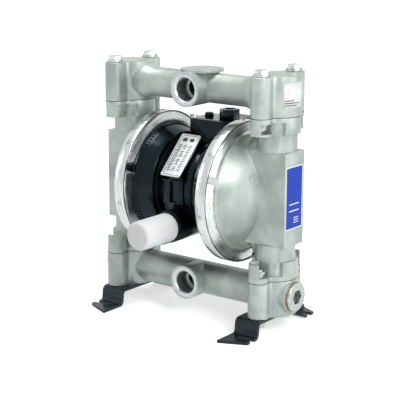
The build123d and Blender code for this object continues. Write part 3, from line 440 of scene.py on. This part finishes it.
def bar_along_x(radius, reach, z, sides=96):
    """A round bar along X."""
    section = disc(0, 0, radius, sides)
    vertices = [(x, across, z + rise) for x in (-reach, reach) for across, rise in section]
    return solid_of("bar", vertices, wall_faces(sides))


def turned_solid(profile, sides=144):
    """A profile of (x, radius) points turned about the shaft."""
    vertices = []
    for ring in range(sides):
        vertices += [around(x, radius, 2 * math.pi * ring / sides) for x, radius in profile]
    return solid_of("ring", vertices, ring_faces(len(profile), sides, sides))


def carve(obj, operation, tools):
    """Result of boolean steps on a mesh object, one for each tool; the tools are used up."""
    for tool in tools:
        step = obj.modifiers.new("step", "BOOLEAN")
        step.operation = operation
        step.solver = "EXACT"
        step.object = tool
    mesh = bpy.data.meshes.new_from_object(obj.evaluated_get(bpy.context.evaluated_depsgraph_get()))
    obj.modifiers.clear()
    obj.data = mesh
    for tool in tools:
        bpy.data.objects.remove(tool)
    return obj


def carved_copy(name, node):
    """A working copy of a CAD node with its split corners joined."""
    build = bmesh.new()
    build.from_mesh(frame["nodes"][node].data)
    bmesh.ops.remove_doubles(build, verts=build.verts, dist=SPLIT_GAP)
    mesh = bpy.data.meshes.new(name)
    build.to_mesh(mesh)
    build.free()
    obj = bpy.data.objects.new(name, mesh)
    bpy.context.scene.collection.objects.link(obj)
    return obj


def stand_for(obj, node, finish, width):
    """The carved piece takes its finish and stands for its CAD node."""
    obj.data.materials.clear()
    obj.data.materials.append(MATERIALS[finish])
    soften(obj, width)
    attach(obj, PUMP)
    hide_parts(node)
    return obj


# ---- Plans of the end blocks ----
HOLLOW = 5.0 * MM
BLOCK_FOOT = 10.4 * MM
NECK_FOOT = 14.2 * MM
TOOL_X = 26 * MM
TOOL_Y = 45 * MM


def block_outline(inset):
    """Plan of an end block: a barrel, two bolt bosses and the hollows between them."""
    reach, near = BLOCK_RADIUS + HOLLOW, BOSS_RADIUS + HOLLOW
    hollow_y = (reach**2 - near**2 + BOLT_Y**2) / (2 * BOLT_Y)
    hollow_x = math.sqrt(reach**2 - hollow_y**2)
    to_boss = math.atan2(BOLT_Y - hollow_y, -hollow_x)
    to_barrel = math.atan2(-hollow_y, -hollow_x) + 2 * math.pi
    barrel = math.atan2(hollow_y, hollow_x)
    quarter = arc_points((0, BOLT_Y), BOSS_RADIUS - inset, math.pi / 2, to_boss - math.pi, 10)
    quarter += arc_points((hollow_x, hollow_y), HOLLOW + inset, to_boss, to_barrel, 8)
    quarter += arc_points((0, 0), BLOCK_RADIUS - inset, barrel, 0, 12)
    half = quarter + [(x, -y) for x, y in reversed(quarter[:-1])]
    return half + [(-x, y) for x, y in reversed(half[1:-1])]


def block_quarter():
    """Plan of one quarter of an end block, from its boss to the foot of its barrel."""
    points = block_outline(0)
    quarter = points[:len(points) // 4 + 2]
    return [(x, y) for x, y in quarter if y >= BLOCK_FOOT - TINY and x >= -TINY]


def neck_quarter(boss, barrel):
    """Plan of one quarter of a round boss beside a round neck."""
    y = (barrel**2 - boss**2 + BOLT_Y**2) / (2 * BOLT_Y)
    x = math.sqrt(barrel**2 - y**2)
    points = arc_points((0, BOLT_Y), boss, math.pi / 2, math.atan2(y - BOLT_Y, x), 12)
    points += arc_points((0, 0), barrel, math.atan2(y, x), math.asin(NECK_FOOT / barrel), 8)[1:]
    return points


def corner_tools(quarter, low, high, sides=(-1, 1)):
    """Four tools beside each block that leave only the quarter's outline standing."""
    plan = [*quarter, (TOOL_X, quarter[-1][1]), (TOOL_X, TOOL_Y), (0, TOOL_Y)]
    steps = zip(plan, plan[1:])
    plan = plan[:1] + [after for before, after in steps if (Vector(after) - Vector(before)).length > TINY]
    tools = []
    for side in sides:
        for sx in (-1, 1):
            for sy in (-1, 1):
                corner = [(side * COLUMN_X + sx * x, sy * y) for x, y in plan]
                tools.append(prism(corner, low, high))
    return tools


# ---- Manifolds with the hollows of their end blocks ----
OUTLET_FLARE = 19.5 * MM
INLET_FLARE = 18.0 * MM
INLET_REACH = 125 * MM
OUTLET_TOOL_TOP = 270 * MM
INLET_TOOL_BASE = 18 * MM


def carve_manifold(node, pipe_z, flare, reach, low, high):
    """Cuts the hollows between low and high, and leaves the flared pipe whole."""
    work = carved_copy(f"{node}_casting", node)
    tools = corner_tools(block_quarter(), low, high)
    for tool in tools:
        carve(tool, "DIFFERENCE", [bar_along_x(flare - SLIVER, reach, pipe_z)])
    return stand_for(carve(work, "DIFFERENCE", tools), node, "casting", CARVED_EDGE)


outlet_casting = carve_manifold(
    "outlet_manifold", OUTLET_PIPE_Z, OUTLET_FLARE, COLUMN_X, OUTLET_JOINT_Z - MM, OUTLET_TOOL_TOP)
inlet_casting = carve_manifold(
    "inlet_manifold", INLET_PIPE_Z, INLET_FLARE, INLET_REACH, INLET_TOOL_BASE, INLET_JOINT_Z + MM)

# ---- Fluid covers with flanges, bosses and nut pockets ----
FLANGE = 5.0 * MM
NECK = 21.0 * MM
COVER_BOSS = BOSS_RADIUS - 0.3 * MM
POCKET_FLOOR = 5.5 * MM
POCKET_TURN = math.radians(15)
POCKET_BACK = -7.8 * MM
POCKET_MOUTH = 13 * MM
POCKET_HALF = 6.75 * MM
DOME_X = 14.5 * MM
DOME_RADIUS = 75.48 * MM
DOME_UNDER = 71 * MM
FLANK_X = (78 * MM, 113 * MM)
FLANK_Y = (12 * MM, 17.5 * MM)
FLANK_LOW = 6 * MM
FLANK_HIGH = 38 * MM
# joint, way into the cover, height of the bosses and height of the nut pockets
COLUMN_ENDS = (
    (INLET_JOINT_Z, 1, 20.0 * MM, 14.75 * MM),
    (OUTLET_JOINT_Z, -1, 17.6 * MM, 10.0 * MM),
)


def nut_pocket(side, flank):
    """Plan of a nut pocket that opens outward, turned a little to its flank."""
    along = Vector((side * math.cos(POCKET_TURN), flank * math.sin(POCKET_TURN)))
    across = Vector((-along.y, along.x)) * POCKET_HALF
    bolt = Vector((side * COLUMN_X, flank * BOLT_Y))
    back, mouth = bolt + along * POCKET_BACK, bolt + along * POCKET_MOUTH
    return [tuple(p) for p in (back - across, mouth - across, mouth + across, back + across)]


def column_end(side, joint, way, height, pocket):
    """Bosses to add at one end of a fluid column, and the cuts that shape the end."""
    def span(start, end):
        return sorted((joint + way * start, joint + way * end))

    bosses, cuts = [], []
    for flank in (-1, 1):
        bolt = (side * COLUMN_X, flank * BOLT_Y)
        bosses.append(prism(disc(*bolt, COVER_BOSS), *span(FLANGE, height)))
        cuts.append(prism(nut_pocket(side, flank), *span(POCKET_FLOOR, POCKET_FLOOR + pocket)))
        cuts.append(prism(disc(*bolt, BOLT_HOLE), *span(-MM, height + MM)))
    cuts += corner_tools(block_quarter(), *span(-MM, FLANGE), sides=(side,))
    cuts += corner_tools(neck_quarter(COVER_BOSS, NECK), *span(FLANGE, height + SLIVER), sides=(side,))
    return bosses, cuts


def dome_ring(side):
    """Ring of the dome's wall, which closes the scoops of the solid."""
    outer = [math.radians(a) for a in range(12, 41, 2)]
    under = [math.radians(a) for a in (40, 26, 12)]
    wall = []
    for radius, angles in ((DOME_RADIUS, outer), (DOME_UNDER, under)):
        wall += [(side * (DOME_X + radius * math.cos(a)), radius * math.sin(a)) for a in angles]
    return turned_solid(wall)


def flank_box(side, flank):
    """Box that closes a scoop between the dome and the label pad."""
    near, far = sorted(side * x for x in FLANK_X)
    front, rear = sorted(flank * y for y in FLANK_Y)
    plan = [(near, front), (far, front), (far, rear), (near, rear)]
    return prism(plan, SHAFT_Z + FLANK_LOW, SHAFT_Z + FLANK_HIGH)


for name, side in SIDES:
    node = f"fluid_cover_{name}"
    work = carved_copy(f"{node}_casting", node)
    additions, cuts = [], []
    for joint, way, height, pocket in COLUMN_ENDS:
        more_bosses, more_cuts = column_end(side, joint, way, height, pocket)
        additions += more_bosses
        cuts += more_cuts
    additions.append(dome_ring(side))
    additions += [flank_box(side, flank) for flank in (-1, 1)]
    carve(work, "UNION", additions)
    stand_for(carve(work, "DIFFERENCE", cuts), node, "casting", CARVED_EDGE)

# ---- Feet bent from sheet ----
FOOT_INNER = 76.7 * MM
FOOT_OUTER = 105.5 * MM
FOOT_RISE = 15.7 * MM
SHEET = 3.2 * MM
BEND_RADIUS = 4.6 * MM
SHOULDER_Y = 42.2 * MM
HEEL_Y = 43.8 * MM
TOE_Y = 75.4 * MM
TOE_CUT_INNER_Y = 75.9 * MM
TOE_CUT_OUTER_Y = 62.2 * MM
TOE_CUT_END_Y = 80 * MM
FOOT_CUT_TOP = 8 * MM
SLOT_X = 90 * MM
SLOT_Y = 54 * MM
SLOT_HALF = 3.5 * MM
FOOT_HOLE_LOW = 10 * MM
FOOT_HOLE_HIGH = 25 * MM


def left_of(way):
    """A direction in the plan, turned a quarter to its left."""
    return Vector((-way.y, way.x))


def bend(before, corner, after, radius, steps=8):
    """Points and directions round one bend of a path."""
    way_in = (corner - before).normalized()
    way_out = (after - corner).normalized()
    turn = abs(way_in.angle_signed(way_out))
    hand = 1 if way_in.x * way_out.y - way_in.y * way_out.x > 0 else -1
    reach = radius * math.tan(turn / 2)
    centre = corner - way_in * reach + left_of(way_in) * radius * hand
    places = []
    for step in range(steps + 1):
        angle = turn * step / steps * hand
        way = Vector((way_in.x * math.cos(angle) - way_in.y * math.sin(angle),
                      way_in.x * math.sin(angle) + way_in.y * math.cos(angle)))
        places.append((centre - left_of(way) * radius * hand, way))
    return places


def bent_strip(corners, radius, half):
    """Outline of sheet that follows corners with round bends."""
    corners = [Vector(corner) for corner in corners]
    path = [(corners[0], (corners[1] - corners[0]).normalized())]
    for before, corner, after in zip(corners, corners[1:], corners[2:]):
        path += bend(before, corner, after, radius)
    path.append((corners[-1], (corners[-1] - corners[-2]).normalized()))
    one = [p + left_of(way) * half for p, way in path]
    other = [p - left_of(way) * half for p, way in path]
    return one + other[::-1]


def foot_cuts(side, flank):
    """Slanted end, open slot and bolt hole of one end of a foot."""
    toe = [(FOOT_INNER - MM, TOE_CUT_INNER_Y), (FOOT_OUTER + MM, TOE_CUT_OUTER_Y),
           (FOOT_OUTER + MM, TOE_CUT_END_Y), (FOOT_INNER - MM, TOE_CUT_END_Y)]
    slot = arc_points((SLOT_X, SLOT_Y), SLOT_HALF, math.pi / 2, 3 * math.pi / 2, 12)
    slot += [(FOOT_OUTER + MM, SLOT_Y - SLOT_HALF), (FOOT_OUTER + MM, SLOT_Y + SLOT_HALF)]
    cuts = []
    for plan in (toe, slot):
        cuts.append(prism([(side * x, flank * y) for x, y in plan], -MM, FOOT_CUT_TOP))
    cuts.append(prism(disc(side * COLUMN_X, flank * BOLT_Y, BOLT_HOLE), FOOT_HOLE_LOW, FOOT_HOLE_HIGH))
    return cuts


for name, side in SIDES:
    half_run = [(SHOULDER_Y, FOOT_RISE + SHEET / 2), (HEEL_Y, SHEET / 2), (TOE_Y, SHEET / 2)]
    run = [(-y, z) for y, z in reversed(half_run)] + half_run
    plan = bent_strip(run, BEND_RADIUS, SHEET / 2)
    vertices = [(side * x, y, z) for x in (FOOT_INNER, FOOT_OUTER) for y, z in plan]
    foot = solid_of(f"foot_{name}_sheet", vertices, wall_faces(len(plan)))
    carve(foot, "DIFFERENCE", foot_cuts(side, -1) + foot_cuts(side, 1))
    stand_for(foot, f"foot_{name}", "foot_paint", EDGE_WIDTH["foot_paint"])

# ---- Machined faces of the castings ----
PORT_BORE = 12.6 * MM
PORT_BORE_END_Y = -2 * MM
PORT_MOUTH = 16.2 * MM
PORT_FACE_DEPTH = 1.6 * MM


def machine_port(node, pipe_z):
    """Gives the mouth and bore of a casting's front port the machined finish."""
    node.data.materials.append(MACHINED)
    index = len(node.data.materials) - 1
    for face in node.data.polygons:
        reach = math.hypot(face.center.x, face.center.z - pipe_z)
        in_bore = reach < PORT_BORE and face.center.y < PORT_BORE_END_Y
        at_mouth = reach < PORT_MOUTH and face.center.y < PORT_FACE_Y + PORT_FACE_DEPTH
        if in_bore or at_mouth:
            face.material_index = index


machine_port(outlet_casting, OUTLET_PIPE_Z)
machine_port(inlet_casting, INLET_PIPE_Z)

# ---- Dark beads at the parting lines between the castings: painted shadow of the gap there ----
JOINT_INSET = 0.2 * MM
JOINT_SHADE_BEAD = 0.42 * MM
parting_gap_shade = []
for side in (-1, 1):
    for z in (INLET_JOINT_Z, OUTLET_JOINT_Z):
        parting_gap_shade.append([(side * COLUMN_X + x, y, z) for x, y in block_outline(JOINT_INSET)])
# the dark rubber beads are painted shadow of the parting gap between the castings
bead("parting_gap_shade", parting_gap_shade, JOINT_SHADE_BEAD, MATERIALS["seal_rubber"])

# ---- Clamps: dark beads beside each strap as painted shade of the gap there, and the spot welds of its retainers ----
STRAP_EDGE_X = 6.15 * MM
STRAP_EDGE_DROP = 1.0 * MM
STRAP_GAP_SHADE_BEAD = 0.4 * MM
WELD_RADIUS = 1.7 * MM
WELD_BEAD = 0.28 * MM
WELD_ANGLES = (39.4, -11.7, -62.8, -113.9, -165.0, 90.5)
strap_gap_shade, welds = [], []
for side in (-1, 1):
    for edge in (-1, 1):
        x = side * RIM_X + edge * STRAP_EDGE_X
        radius = STRAP_RADIUS - STRAP_EDGE_DROP
        strap_gap_shade.append([around(x, radius, math.radians(a)) for a in range(0, 360, 3)])
    for angle in WELD_ANGLES:
        a = math.radians(angle)
        centre = around(side * RIM_X, STRAP_RADIUS + SLIVER, a)
        across, along = Vector((1, 0, 0)), Vector((0, math.sin(a), math.cos(a)))
        turns = [math.radians(t) for t in range(0, 360, 24)]
        welds.append([centre + (across * math.cos(t) + along * math.sin(t)) * WELD_RADIUS for t in turns])
# the dark rubber beads beside the straps are painted shade of the gap between strap and retainer
bead("strap_gap_shade", strap_gap_shade, STRAP_GAP_SHADE_BEAD, MATERIALS["seal_rubber"])
bead("strap_welds", welds, WELD_BEAD, WELD)

# ---- Teeth round the air covers ----
TEETH = 90
TOOTH_X = 41.2 * MM
TOOTH_RADIUS = 61.2 * MM
TOOTH_RUN, TOOTH_CLIMB = 18, 8
TOOTH_SUNK = -0.3 * MM
TOOTH_HEIGHT = 0.9 * MM
tooth_outline = rounded(3.4 * MM, 2.0 * MM, 0.7 * MM, steps=2)
for name, side in SIDES:
    vertices, faces = [], []
    for tooth in range(TEETH):
        a = 2 * math.pi * (tooth + 0.5) / TEETH
        out = around(0, 1, a, 0)
        across = Vector((0, math.sin(a), math.cos(a)))
        along = (Vector((side * TOOTH_RUN, 0, 0)) + out * TOOTH_CLIMB).normalized()
        raised = (out * TOOTH_RUN - Vector((side * TOOTH_CLIMB, 0, 0))).normalized()
        base = around(side * TOOTH_X, TOOTH_RADIUS, a)
        faces += wall_faces(len(tooth_outline), len(vertices))
        vertices += slab(tooth_outline, (base, along, across, raised), TOOTH_SUNK, TOOTH_HEIGHT)
    mesh_piece(f"rim_teeth_{name}", vertices, faces, MATERIALS["black_body"], smooth=False)

# ---- Threads in the ports ----
THREAD_START_Y = -29.3 * MM
THREAD_RADIUS = 12.15 * MM
THREAD_DEPTH = 0.7 * MM
THREAD_PITCH = 1.8 * MM
THREAD_TURNS = 9


def port_thread(name, pipe_z, sides=64):
    """Rings of a female thread from the mouth of a front port inward."""
    profile = []
    for turn in range(THREAD_TURNS):
        profile.append((turn * THREAD_PITCH, THREAD_RADIUS))
        profile.append(((turn + 0.5) * THREAD_PITCH, THREAD_RADIUS - THREAD_DEPTH))
    profile.append((THREAD_TURNS * THREAD_PITCH, THREAD_RADIUS))
    start, inward = Vector((0, THREAD_START_Y, pipe_z)), Vector((0, 1, 0))
    u = inward.orthogonal().normalized()
    v = inward.cross(u)
    vertices, faces = [], []
    for step in range(sides):
        angle = 2 * math.pi * step / sides
        out = u * math.cos(angle) + v * math.sin(angle)
        vertices += [start + inward * along + out * radius for along, radius in profile]
    count = len(profile)
    for step in range(sides):
        here, after = step * count, (step + 1) % sides * count
        faces += [(here + i, here + i + 1, after + i + 1, after + i) for i in range(count - 1)]
    return mesh_piece(name, vertices, faces, MACHINED)


port_thread("outlet_port_thread", OUTLET_PIPE_Z)
port_thread("inlet_port_thread", INLET_PIPE_Z)

# ---- Label on the right pad ----
PAD_X = 117.5 * MM
PAD_MIDDLE_Z = SHAFT_Z + 1.7 * MM
label_base = Vector((PAD_X, 0, PAD_MIDDLE_Z))
label_plane = (label_base, Vector((0, 1, 0)), Vector((0, 0, 1)), Vector((1, 0, 0)))
border = rounded(31.0 * MM, 66.0 * MM, 1.6 * MM)
panel = rounded(28.4 * MM, 63.4 * MM, 0.8 * MM)
stripes = [rounded(18 * MM, 1.2 * MM, 0.3 * MM, (0, v * MM)) for v in (-6.5, -13.5)]
stripes += [rounded(9 * MM, 0.8 * MM, 0.2 * MM, (4 * MM, v * MM)) for v in (-21, -23.5, -26)]
printed("pad_label_border", [border], label_plane, -0.05 * MM, 0.12 * MM, WHITE_FILM)
printed("pad_label_panel", [panel], label_plane, 0.02 * MM, 0.18 * MM, BLUE_FILM)
printed("pad_label_lines", stripes, label_plane, 0.1 * MM, 0.22 * MM, WHITE_FILM)

# ---- Tag round the upper right block ----
TAG_ANGLES = (46, 114)
TAG_LOW = 236.4 * MM
TAG_HIGH = 262.6 * MM
TAG_LINE_START = 50
TAG_LINE_WIDTH = 0.8 * MM
# height of each ruled line, and the angle that it spans
TAG_LINES = ((239.0 * MM, 34), (241.4 * MM, 44), (243.8 * MM, 26))


def wrapped(name, angles, heights, radii, material, steps=16):
    """A thin patch round the right end block, between two angles from -Y towards +X."""
    first, last = angles
    vertices, faces = [], []
    for step in range(steps + 1):
        a = math.radians(first + (last - first) * step / steps)
        for radius in radii:
            for z in heights:
                vertices.append((COLUMN_X + radius * math.sin(a), -radius * math.cos(a), z))
    for k in range(0, 4 * steps, 4):
        for i, j in ((0, 1), (2, 3), (0, 2), (1, 3)):
            faces.append((k + i, k + j, k + 4 + j, k + 4 + i))
    for k in (0, 4 * steps):
        faces.append((k, k + 1, k + 3, k + 2))
    return mesh_piece(name, vertices, faces, material)


wrapped("block_tag", TAG_ANGLES, (TAG_LOW, TAG_HIGH), (23.9 * MM, 24.14 * MM), WHITE_FILM)
for row, (z, spread) in enumerate(TAG_LINES):
    angles = (TAG_LINE_START, TAG_LINE_START + spread)
    wrapped(f"block_tag_line_{row}", angles, (z, z + TAG_LINE_WIDTH), (24.1 * MM, 24.2 * MM), GREY_INK)

# ---- Nameplate: ruled lines and rivets ----
PLATE_TILT = math.radians(45)
PLATE_OFFSET = 52.6 * MM
FRAME_U = 10.6 * MM
FRAME_V = 25 * MM
FRAME_LINE = 0.4 * MM
ROWS = 17
ROW_PITCH = 2.0
FIRST_ROW = -19.5
COLUMNS = ((-6.6, 5.4), (0.0, 4.6), (6.6, 5.4))
MARK_U = 4.5 * MM
MARK_V = 19.6 * MM
RIVET_U = 9.6 * MM
RIVET_V = 24.4 * MM
RIVET_RADIUS = 0.9 * MM
plate_normal = Vector((0, -math.cos(PLATE_TILT), math.sin(PLATE_TILT)))
plate_v = Vector((0, math.sin(PLATE_TILT), math.cos(PLATE_TILT)))
plate_base = plate_normal * PLATE_OFFSET + Vector((0, 0, SHAFT_Z))
plate_plane = (plate_base, Vector((1, 0, 0)), plate_v, plate_normal)

rules = [rounded(FRAME_LINE, 2 * FRAME_V, 0.1 * MM, (u, 0)) for u in (-FRAME_U, FRAME_U)]
rules += [rounded(21.6 * MM, FRAME_LINE, 0.1 * MM, (0, v)) for v in (-FRAME_V, FRAME_V)]
for column, (u, width) in enumerate(COLUMNS):
    for row in range(ROWS):
        if column == 1 and row % 5 == 3:
            continue
        v = FIRST_ROW + row * ROW_PITCH
        length = width - (row * 7 + column * 3) % 3
        rules.append(rounded(length * MM, 0.9 * MM, 0.2 * MM, (u * MM, v * MM)))
for u, corner in ((-MARK_U, 1 * MM), (MARK_U, 2 * MM)):
    rules.append(rounded(6 * MM, 4.4 * MM, corner, (u, MARK_V)))
printed("nameplate_rules", rules, plate_plane, -0.05 * MM, 0.1 * MM, GREY_INK)

rivets = []
for v in (RIVET_V, -RIVET_V):
    for u in (-RIVET_U, RIVET_U):
        turns = [k * math.pi / 6 for k in range(12)]
        rivets.append([(u + RIVET_RADIUS * math.cos(t), v + RIVET_RADIUS * math.sin(t)) for t in turns])
plate_metal = MATERIALS["plate_metal"]
printed("nameplate_rivets", rivets, plate_plane, -0.05 * MM, 0.5 * MM, plate_metal)

# ---- Diaphragms between the rim and the plates ----
DIAPHRAGM_BORE = 6.1 * MM
DISC_RADIUS = 34 * MM
WEB_RADIUS = 57 * MM
DIAPHRAGM_RADIUS = 71.4 * MM
CREST_RADIUS = 45.5 * MM
CREST_HALF = 11.4 * MM
CREST_RISE = 6.0 * MM
HALF_THICKNESS = 1.6 * MM
UNDERSIDE_SHARE = 0.9
SECTORS = 12


def diaphragm_profile(side, inner, outer, steps=14):
    """Half section of the rubber between two radii, with its convolution."""
    upper, lower = [], []
    for step in range(steps + 1):
        radius = inner + (outer - inner) * step / steps
        way = (radius - CREST_RADIUS) / CREST_HALF
        lift = CREST_RISE * math.sqrt(1 - way**2) if abs(way) < 1 else 0
        upper.append((side * (RIM_X + lift + HALF_THICKNESS), radius))
        lower.append((side * (RIM_X + lift * UNDERSIDE_SHARE - HALF_THICKNESS), radius))
    return upper + lower[::-1]


def diaphragm(name, side):
    """A disc on the shaft, a rim in the clamp and sectors of web that stretch between them."""
    rubber = MATERIALS["seal_rubber"]
    on_shaft = diaphragm_profile(side, DIAPHRAGM_BORE, DISC_RADIUS, 3)
    in_clamp = diaphragm_profile(side, WEB_RADIUS, DIAPHRAGM_RADIUS, 2)
    between = diaphragm_profile(side, DISC_RADIUS, WEB_RADIUS)
    turned_piece(f"diaphragm_disc_{name}", on_shaft, rubber, SHAFT)
    rim = turned_piece(f"diaphragm_rim_{name}", in_clamp, rubber, PUMP)
    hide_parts(f"diaphragm_{name}")
    width = 360 // SECTORS
    for sector in range(SECTORS):
        arc = (math.radians(width * sector - width // 2), math.radians(width * sector + width // 2))
        web_name = f"diaphragm_web_{name}_{sector:02d}"
        web = turned_piece(web_name, between, rubber, None, 6, arc)
        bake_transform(web)


for name, side in SIDES:
    diaphragm(name, side)

# ---- Floor, world and lamps ----
FLOOR_SIZE = 60.0
FLOOR_DROP = 0.2 * MM
# the floor glows more with the distance from the pump, to meet the white of the world
GLOW_FROM, GLOW_TO = 0.2, 1.2
GLOW_NEAR, GLOW_FAR = 0.56, 0.9
WORLD_LIGHT = 0.22
WORLD_SEEN = 1.0


def stage_plane(name, size, place, material):
    """A square of floor."""
    mesh = bpy.data.meshes.new(name)
    half = size / 2
    corners = [(-half, -half, 0), (half, -half, 0), (half, half, 0), (-half, half, 0)]
    mesh.from_pydata(corners, [], [(0, 1, 2, 3)])
    obj = bpy.data.objects.new(name, mesh)
    bpy.context.scene.collection.objects.link(obj)
    obj.location = place
    mesh.materials.append(material)


def seen_ray(material):
    """1 for camera, glossy and transmission rays, else 0."""
    path = add_node(material, "ShaderNodeLightPath")
    first = add_node(material, "ShaderNodeMath", operation="MAXIMUM")
    link(material, path.outputs["Is Camera Ray"], first.inputs[0])
    link(material, path.outputs["Is Glossy Ray"], first.inputs[1])
    second = add_node(material, "ShaderNodeMath", operation="MAXIMUM")
    link(material, first.outputs[0], second.inputs[0])
    link(material, path.outputs["Is Transmission Ray"], second.inputs[1])
    return second.outputs[0]


floor_material, floor_shader = new_material("floor", (0.90, 0.90, 0.90), 0.9)
floor_shader.inputs["Specular IOR Level"].default_value = 0
floor_shader.inputs["Emission Color"].default_value = (1, 1, 1, 1)
floor_place = add_node(floor_material, "ShaderNodeTexCoord")
floor_distance = add_node(floor_material, "ShaderNodeVectorMath", operation="LENGTH")
link(floor_material, floor_place.outputs["Object"], floor_distance.inputs[0])
fade = add_node(floor_material, "ShaderNodeMapRange")
fade.inputs["From Min"].default_value = GLOW_FROM
fade.inputs["From Max"].default_value = GLOW_TO
fade.inputs["To Min"].default_value = GLOW_NEAR
fade.inputs["To Max"].default_value = GLOW_FAR
link(floor_material, floor_distance.outputs["Value"], fade.inputs["Value"])
glow = add_node(floor_material, "ShaderNodeMath", operation="MULTIPLY")
link(floor_material, seen_ray(floor_material), glow.inputs[0])
link(floor_material, fade.outputs["Result"], glow.inputs[1])
link(floor_material, glow.outputs[0], floor_shader.inputs["Emission Strength"])
stage_plane("floor", FLOOR_SIZE, (0, 0, -FLOOR_DROP), floor_material)

world = bpy.data.worlds.new("studio")
bpy.context.scene.world = world
world.use_nodes = True
sky = world.node_tree.nodes["Background"]
sky.inputs["Color"].default_value = (1, 1, 1, 1)
bright = seen_ray(world)
level = add_node(world, "ShaderNodeMapRange")
level.inputs["To Min"].default_value = WORLD_LIGHT
level.inputs["To Max"].default_value = WORLD_SEEN
link(world, bright, level.inputs["Value"])
link(world, level.outputs["Result"], sky.inputs["Strength"])


def lamp(name, place, size, power, colour=(1, 1, 1)):
    """A soft rectangular lamp aimed at the middle of the pump."""
    light = bpy.data.lights.new(name, "AREA")
    light.shape = "RECTANGLE"
    light.size, light.size_y = size
    light.energy = power
    light.color = colour
    obj = bpy.data.objects.new(name, light)
    bpy.context.scene.collection.objects.link(obj)
    obj.location = place
    aim = Vector((0, 0, SHAFT_Z)) - Vector(place)
    obj.rotation_euler = aim.to_track_quat("-Z", "Y").to_euler()


lamp("key", (1.0, -0.45, 0.75), (0.4, 0.4), 7.5)
lamp("right_fill", (1.2, 0.3, 0.35), (0.4, 0.9), 3.0)
lamp("top", (-0.25, -0.1, 1.2), (0.5, 0.4), 5.0)
lamp("left_fill", (-1.1, -0.8, 0.5), (0.4, 0.8), 1.2, (0.85, 0.95, 1.0))

# ---- Camera, at the angle of the photograph ----
AZIMUTH = math.radians(37.161)
ELEVATION = math.radians(13.34)
ROLL = math.radians(0.21)
DISTANCE = 1326.9 * MM
ASIDE = -2.1 * MM
AIM_HEIGHT = 124.1 * MM
FOCAL_PIXELS = 1230.8
PICTURE_PIXELS = 400
level_reach = math.cos(ELEVATION)
back = Vector((math.sin(AZIMUTH) * level_reach, -math.cos(AZIMUTH) * level_reach, math.sin(ELEVATION)))
level_right = Vector((math.cos(AZIMUTH), math.sin(AZIMUTH), 0))
level_up = back.cross(level_right)
right = level_right * math.cos(ROLL) + level_up * math.sin(ROLL)
eye = level_right * ASIDE + Vector((0, 0, AIM_HEIGHT)) + back * DISTANCE
camera_data = bpy.data.cameras.new("camera")
camera_data.sensor_width = 36
camera_data.lens = camera_data.sensor_width * FOCAL_PIXELS / PICTURE_PIXELS
camera_data.clip_start = 0.01
camera = bpy.data.objects.new("camera", camera_data)
bpy.context.scene.collection.objects.link(camera)
axes = Matrix((right, back.cross(right), back)).transposed()
camera.matrix_world = Matrix.Translation(eye) @ axes.to_4x4()
bpy.context.scene.camera = camera

bpy.context.scene.view_settings.view_transform = "Standard"
